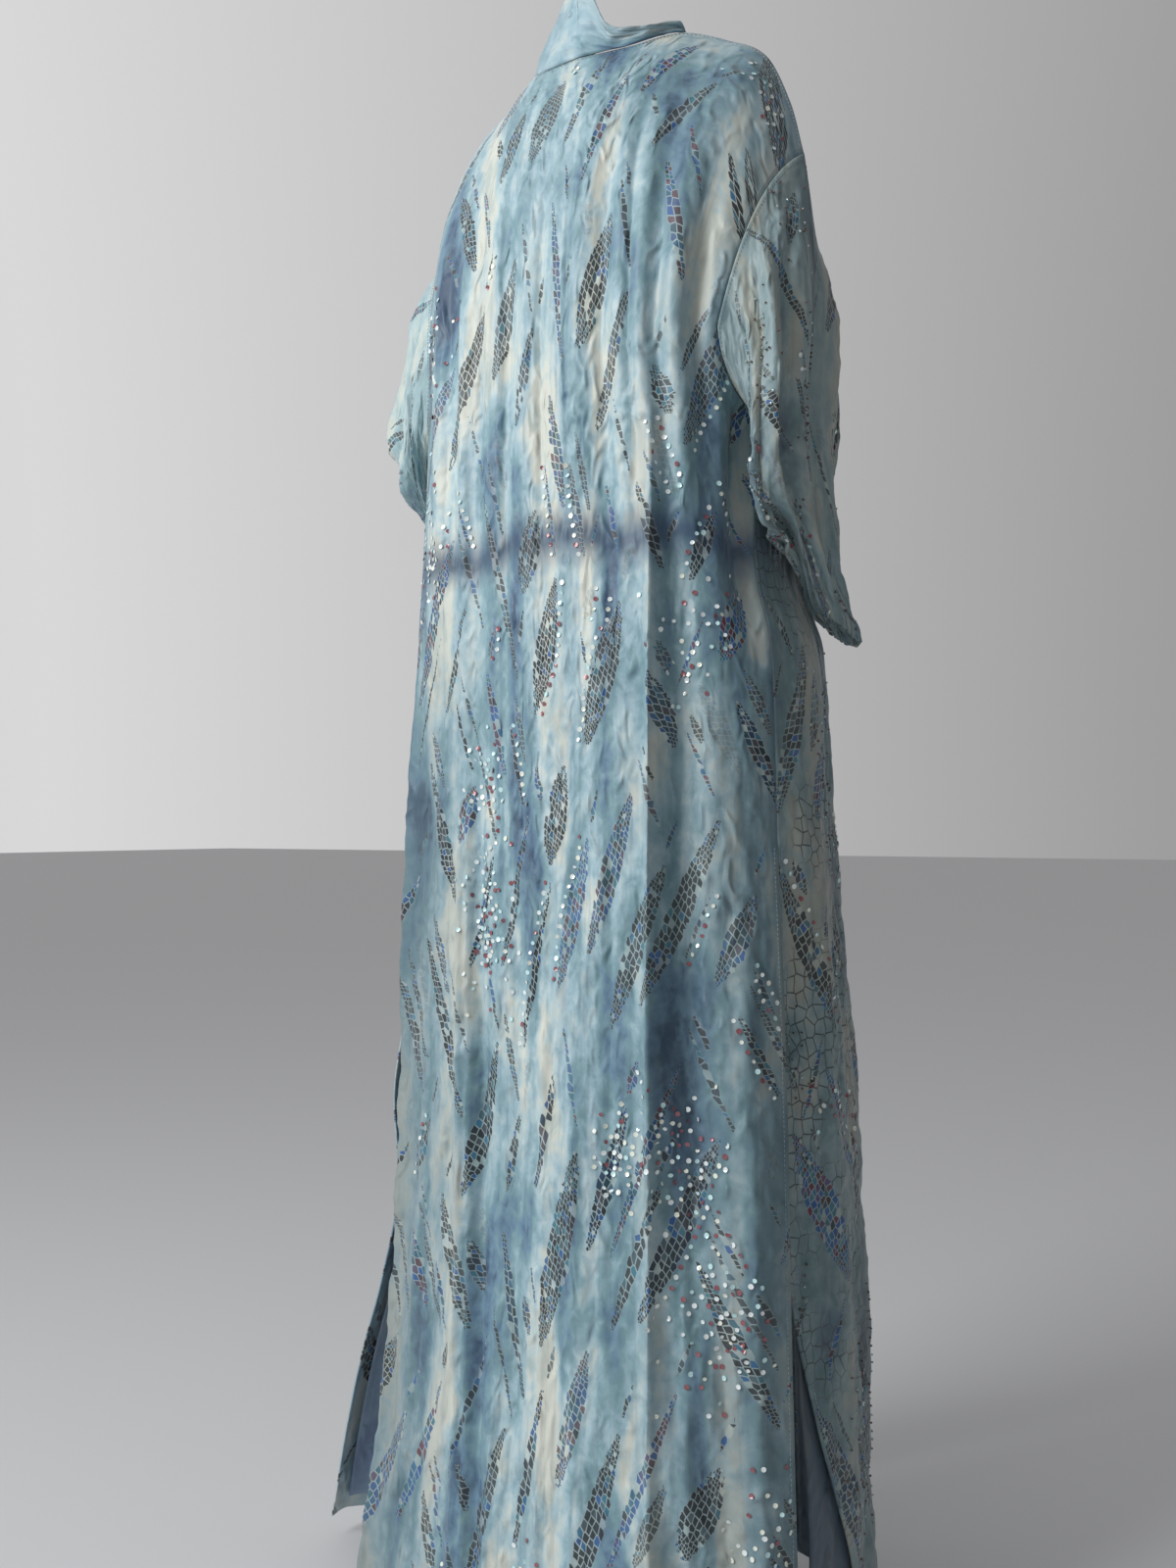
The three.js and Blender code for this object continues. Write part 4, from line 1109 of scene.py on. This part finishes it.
def makeSleeve(side):
    word = "left" if side > 0 else "right"
    name = "sleeve" + word.title()
    rings = sleeveRings[word]
    edge = armholeEdge(side)
    columns = sleevePiece["columns"] // 1
    rows = sleevePiece["rows"] // 1

    def surface(turn, share):
        fade = 1 - ease(share / sleevePiece["headShare"])
        head = (edge(turn) - ringPoint(rings, share * 0, turn)) * fade[..., None]
        return ringPoint(rings, share, turn) + head

    def place(turn, share):
        points = surface(turn, share)
        step = 0.004
        round = surface(turn + step, share) - surface(turn - step, share)
        along = surface(turn, np.minimum(share + step, 1)) - surface(turn, np.maximum(share - step, 0))
        normals = unit(np.cross(round, along)) * -side
        height = 0 * turn
        for top, foot, out, wide, start in sleeveFolds[side]:
            centre = mix(top, foot, share)
            apart = np.abs(np.mod(turn - centre + 0.5, 1) - 0.5)
            fade = ease((share - start) / 0.2 + 0.2) * ease((sleevePiece["foldEnd"] - share) / 0.3)
            height = height + out * fade * np.exp(-((apart / wide) ** 2))
        flat = flatOf(turn, share)
        seamless = ease(turn * 12) * ease((1 - turn) * 12)
        height = height + crushed(flat[:, 0], flat[:, 1], sleevePiece["crumple"]) * seamless
        height = height + sleevePiece["cuffRoll"] * np.exp(
            -((share - sleevePiece["cuffAt"]) / sleevePiece["cuffWide"]) ** 2)
        return points + normals * (height * ease(share * 9))[..., None]

    def flatOf(turn, share):
        return np.stack([turn * sleevePiece["flatRound"] + sleevePiece["flatLeft"],
                         -share * sleevePiece["flatLength"]], -1)

    mesh, flat = gridMesh("sleeve_" + word, columns, rows, place, flatOf, inward=side < 0)
    leaves = layoutLeaves(sleevePiece["seeds"][side], sleevePiece["flatLeft"], sleevePiece["flatRound"],
                          sleevePiece["flatLength"], sleevePiece["fans"])
    writeLeaves(mesh, flat, leaves)

    def unflat(x, y):
        return (x - sleevePiece["flatLeft"]) / sleevePiece["flatRound"], -y / sleevePiece["flatLength"]
    chance = random.Random(sleevePiece["seeds"][side])
    glitter = [
        sewOn(name + "Sequins", sequins, 4,
              scatterPlaces(leaves, sequins, chance, *sleevePiece["sequins"]), unflat, place, -side),
        sewOn(name + "Beads", beads, 5,
              scatterPlaces(leaves, beads, chance, *sleevePiece["beads"]), unflat, place, -side),
    ]
    round = np.linspace(0.006, 0.994, 400)
    glitter.append(stitchRows(name + "Stitches", [
        (round, 0 * round + sleevePiece["cuffAt"] - 0.02), (round, 0 * round + 0.012)], place, -side))
    bm = bmesh.new()
    bm.from_mesh(mesh)
    bmesh.ops.remove_doubles(bm, verts=bm.verts, dist=0.00002)
    bm.to_mesh(mesh)
    bm.free()
    piece = placePanel(mesh, name, "sleeve_" + word, silks[name], cut["wall"])
    return piece


# The second layer inside the fronts, below the slits
liningPiece = {
    "columns": 60, "rows": 120, "inset": 0.055, "shorter": 0.0095,
    "flatWidth": 250.0, "flatLength": 700.0, "flatLeft": 1500,
}


def makeLining(side):
    word = "left" if side > 0 else "right"
    surface = frontSurface(side)
    def folded(share, down):
        points = surface(share, down)
        z = points[..., 2]
        height = foldHeight(frontFolds, hangingFrontShare(side, share, z), z) * seamFade(share, z)
        return points + surfaceNormals(surface, share, down, side) * height[..., None]

    def place(a, b):
        down = mix(slitFrom, 1 - liningPiece["shorter"], b)
        z = cut["chestZ"] - (down * panelLength - yokeLength)
        share = mix(readTable(liningEdges, "z", z, word), 1 - liningPiece["inset"], a)
        gap = mix(cut["sewnGap"], cut["liningGap"], ease((cut["slitZ"] - z) / cut["liningSpread"]))
        inward = surfaceNormals(folded, share, down, side) * (cut["wall"] + gap)[..., None]
        return folded(share, down) - inward

    def flatOf(a, b):
        return np.stack([a * liningPiece["flatWidth"] + liningPiece["flatLeft"],
                         -b * liningPiece["flatLength"]], -1)

    mesh, flat = gridMesh("lining_" + word, liningPiece["columns"], liningPiece["rows"], place, flatOf,
                          inward=side > 0)
    name = "lining" + word.title()
    piece = placePanel(mesh, name, "front_lining_" + word, silks[name], cut["wall"])
    return piece


# The collar band: stations round the nape and down both front edges
bandPiece = {
    "columns": 660, "rows": 20, "crumple": [(55, 2.5, 70, 5.0, 6), (22, 1.8, 60, 2.2, 2)],
    "calm": 0.35, "calmBelow": -260, "calmOver": 160, "flatWidth": 60.0, "flatLeft": 1900,
}


def napeDirection(share):
    side = np.where(share < 0, -1, 1)
    leanIn = readTable(napeBand, "share", share, "leanIn")
    leanBack = readTable(napeBand, "share", share, "leanBack")
    return unit(np.stack([-side * leanIn, leanBack, 1 + 0 * share], -1))


def uncrumpled(across, down):
    return 0 * across


def makeBand():
    steps = 80
    down = np.linspace(0, 1, 300)[1:]
    share = np.linspace(cut["neckShare"], -cut["neckShare"], steps)
    base = backSurface(share, 0 * share)
    napeWays = napeDirection(share)
    napeWidths = readTable(napeBand, "share", share, "height")
    parts = []
    for side in (1, -1):
        surface = frontSurface(side)

        def hang(share, z):
            return hangingFrontShare(side, share, z)

        def smooth(share):
            return panelPoints(surface, frontFolds, 0 * down + share, down, side, 0 * down + share,
                               uncrumpled, hang)
        edge = smooth(1)
        onwards = unit(edge - smooth(0.94))
        standing = readTable(frontBand, "z", edge[:, 2], "standing")[:, None]
        ways = unit(mix(onwards, napeDirection(0 * down + side * cut["neckShare"]), standing))
        widths = readTable(frontBand, "z", edge[:, 2], "left" if side > 0 else "right")
        gaps = mix(cut["seamGap"], cut["napeBandGap"], standing[:, 0])
        parts.append((edge, ways, widths, gaps))
    left, right = parts
    bases = np.concatenate([left[0][::-1], base, right[0]])
    ways = np.concatenate([left[1][::-1], napeWays, right[1]])
    widths = np.concatenate([left[2][::-1], napeWidths, right[2]])
    gaps = np.concatenate([left[3][::-1], 0 * share + cut["napeBandGap"], right[3]])
    run = np.concatenate([[0], np.cumsum(np.linalg.norm(np.diff(bases, axis=0), axis=1))])

    def place(a, b):
        at = a * run[-1]
        point = np.stack([np.interp(at, run, bases[:, axis]) for axis in range(3)], -1)
        way = unit(np.stack([np.interp(at, run, ways[:, axis]) for axis in range(3)], -1))
        width = np.interp(at, run, widths)
        gap = np.interp(at, run, gaps)
        flat = flatOf(a, b)
        loose = ease((point[:, 2] - bandPiece["calmBelow"]) / bandPiece["calmOver"])
        loose = mix(bandPiece["calm"], 1, loose) * ease(b * 5) * ease((1 - b) * 5 + 0.3)
        out = unit(np.stack([point[:, 0], point[:, 1] - cut["middleY"], 0 * at], -1))
        height = crushed(flat[:, 0], flat[:, 1], bandPiece["crumple"]) * loose
        return point + way * (gap + width * b)[..., None] + out * height[..., None]

    def flatOf(a, b):
        return np.stack([b * bandPiece["flatWidth"] + bandPiece["flatLeft"], -a * run[-1]], -1)

    mesh, flat = gridMesh("collar", bandPiece["columns"], bandPiece["rows"], place, flatOf, inward=True)
    piece = placePanel(mesh, "collarBand", "collar_band", silks["band"], cut["collarWall"])
    return piece


makeSleeve(1)
makeSleeve(-1)
makeLining(1)
makeLining(-1)
makeBand()
makeBack()
makeFront(1)
makeFront(-1)
print("panels done")

# Camera, light and ground
view = {
    "place": (-0.7107, 1.2293, -0.756), "azimuth": 211.0, "pitch": 1.47, "lens": 34.2,
    "floor": -1.5,
}


def addCamera():
    data = bpy.data.cameras.new("camera")
    data.sensor_fit = "VERTICAL"
    data.sensor_height = 36
    data.lens = view["lens"]
    camera = bpy.data.objects.new("camera", data)
    bpy.context.collection.objects.link(camera)
    camera.location = view["place"]
    camera.rotation_euler = (math.radians(90 + view["pitch"]), 0, math.radians(view["azimuth"]))
    bpy.context.scene.camera = camera
    bpy.context.scene.view_settings.view_transform = "Standard"


def addArea(name, place, size, power, color):
    data = bpy.data.lights.new(name, "AREA")
    data.shape = "RECTANGLE"
    data.size, data.size_y = size
    data.energy = power
    data.color = color
    lamp = bpy.data.objects.new(name, data)
    bpy.context.collection.objects.link(lamp)
    lamp.location = place
    direction = Vector(roomLight["target"]) - Vector(place)
    lamp.rotation_euler = direction.to_track_quat("-Z", "Y").to_euler()


# The room is bright on the photo's left, where its window is, and dim on its right
roomLight = {
    "towardWindow": (0.857, 0.515, 0.0), "towardCamera": (-0.515, 0.857, 0.0), "behind": 0.7,
    "dimmest": (0.09, 0.095, 0.1, 1), "brightest": 0.5, "between": ((0.33, 0.35), (0.67, 0.69)),
    "target": (0, 0, -0.8),
}


def addRoomLight():
    world = bpy.data.worlds.new("world")
    bpy.context.scene.world = world
    world.use_nodes = True
    nodes, links = world.node_tree.nodes, world.node_tree.links
    direction = nodes.new("ShaderNodeTexCoord").outputs["Generated"]

    def facing(way, lowest, first, last):
        toward = nodes.new("ShaderNodeVectorMath")
        toward.operation = "DOT_PRODUCT"
        toward.inputs[1].default_value = way
        links.new(direction, toward.inputs[0])
        place = nodes.new("ShaderNodeMapRange")
        place.inputs["From Min"].default_value = lowest
        place.inputs["To Min"].default_value = first
        place.inputs["To Max"].default_value = last
        links.new(toward.outputs["Value"], place.inputs["Value"])
        return place.outputs[0]

    ramp = nodes.new("ShaderNodeValToRGB")
    entries = ramp.color_ramp.elements
    entries[0].color = roomLight["dimmest"]
    entries[1].color = (roomLight["brightest"],) * 3 + (1,)
    for at, tone in roomLight["between"]:
        entries.new(at).color = (tone, tone, tone * 1.01, 1)
    links.new(facing(roomLight["towardWindow"], -1, 0, 1), ramp.inputs[0])
    links.new(ramp.outputs[0], nodes["Background"].inputs[0])
    links.new(facing(roomLight["towardCamera"], 0, 1, 1 - roomLight["behind"]), nodes["Background"].inputs[1])
    addArea("window", (1.1, 2.3, 0.75), (1.1, 2.2), 64, (0.97, 0.99, 1.0))
    addArea("fill", (-1.6, 1.9, -0.2), (1.6, 2.0), 0.3, (1.0, 0.99, 0.97))


def addGround():
    shader = Shader("ground")
    shader.surface.inputs["Base Color"].default_value = (0.66, 0.66, 0.67, 1)
    shader.surface.inputs["Roughness"].default_value = 0.8
    bm = bmesh.new()
    bmesh.ops.create_grid(bm, x_segments=1, y_segments=1, size=30)
    bmesh.ops.translate(bm, verts=bm.verts, vec=(0, 0, view["floor"]))
    mesh = bpy.data.meshes.new("ground")
    bm.to_mesh(mesh)
    bm.free()
    ground = bpy.data.objects.new("ground", mesh)
    bpy.context.collection.objects.link(ground)
    mesh.materials.append(shader.material)


addCamera()
addRoomLight()
addGround()
print("camera and light done")
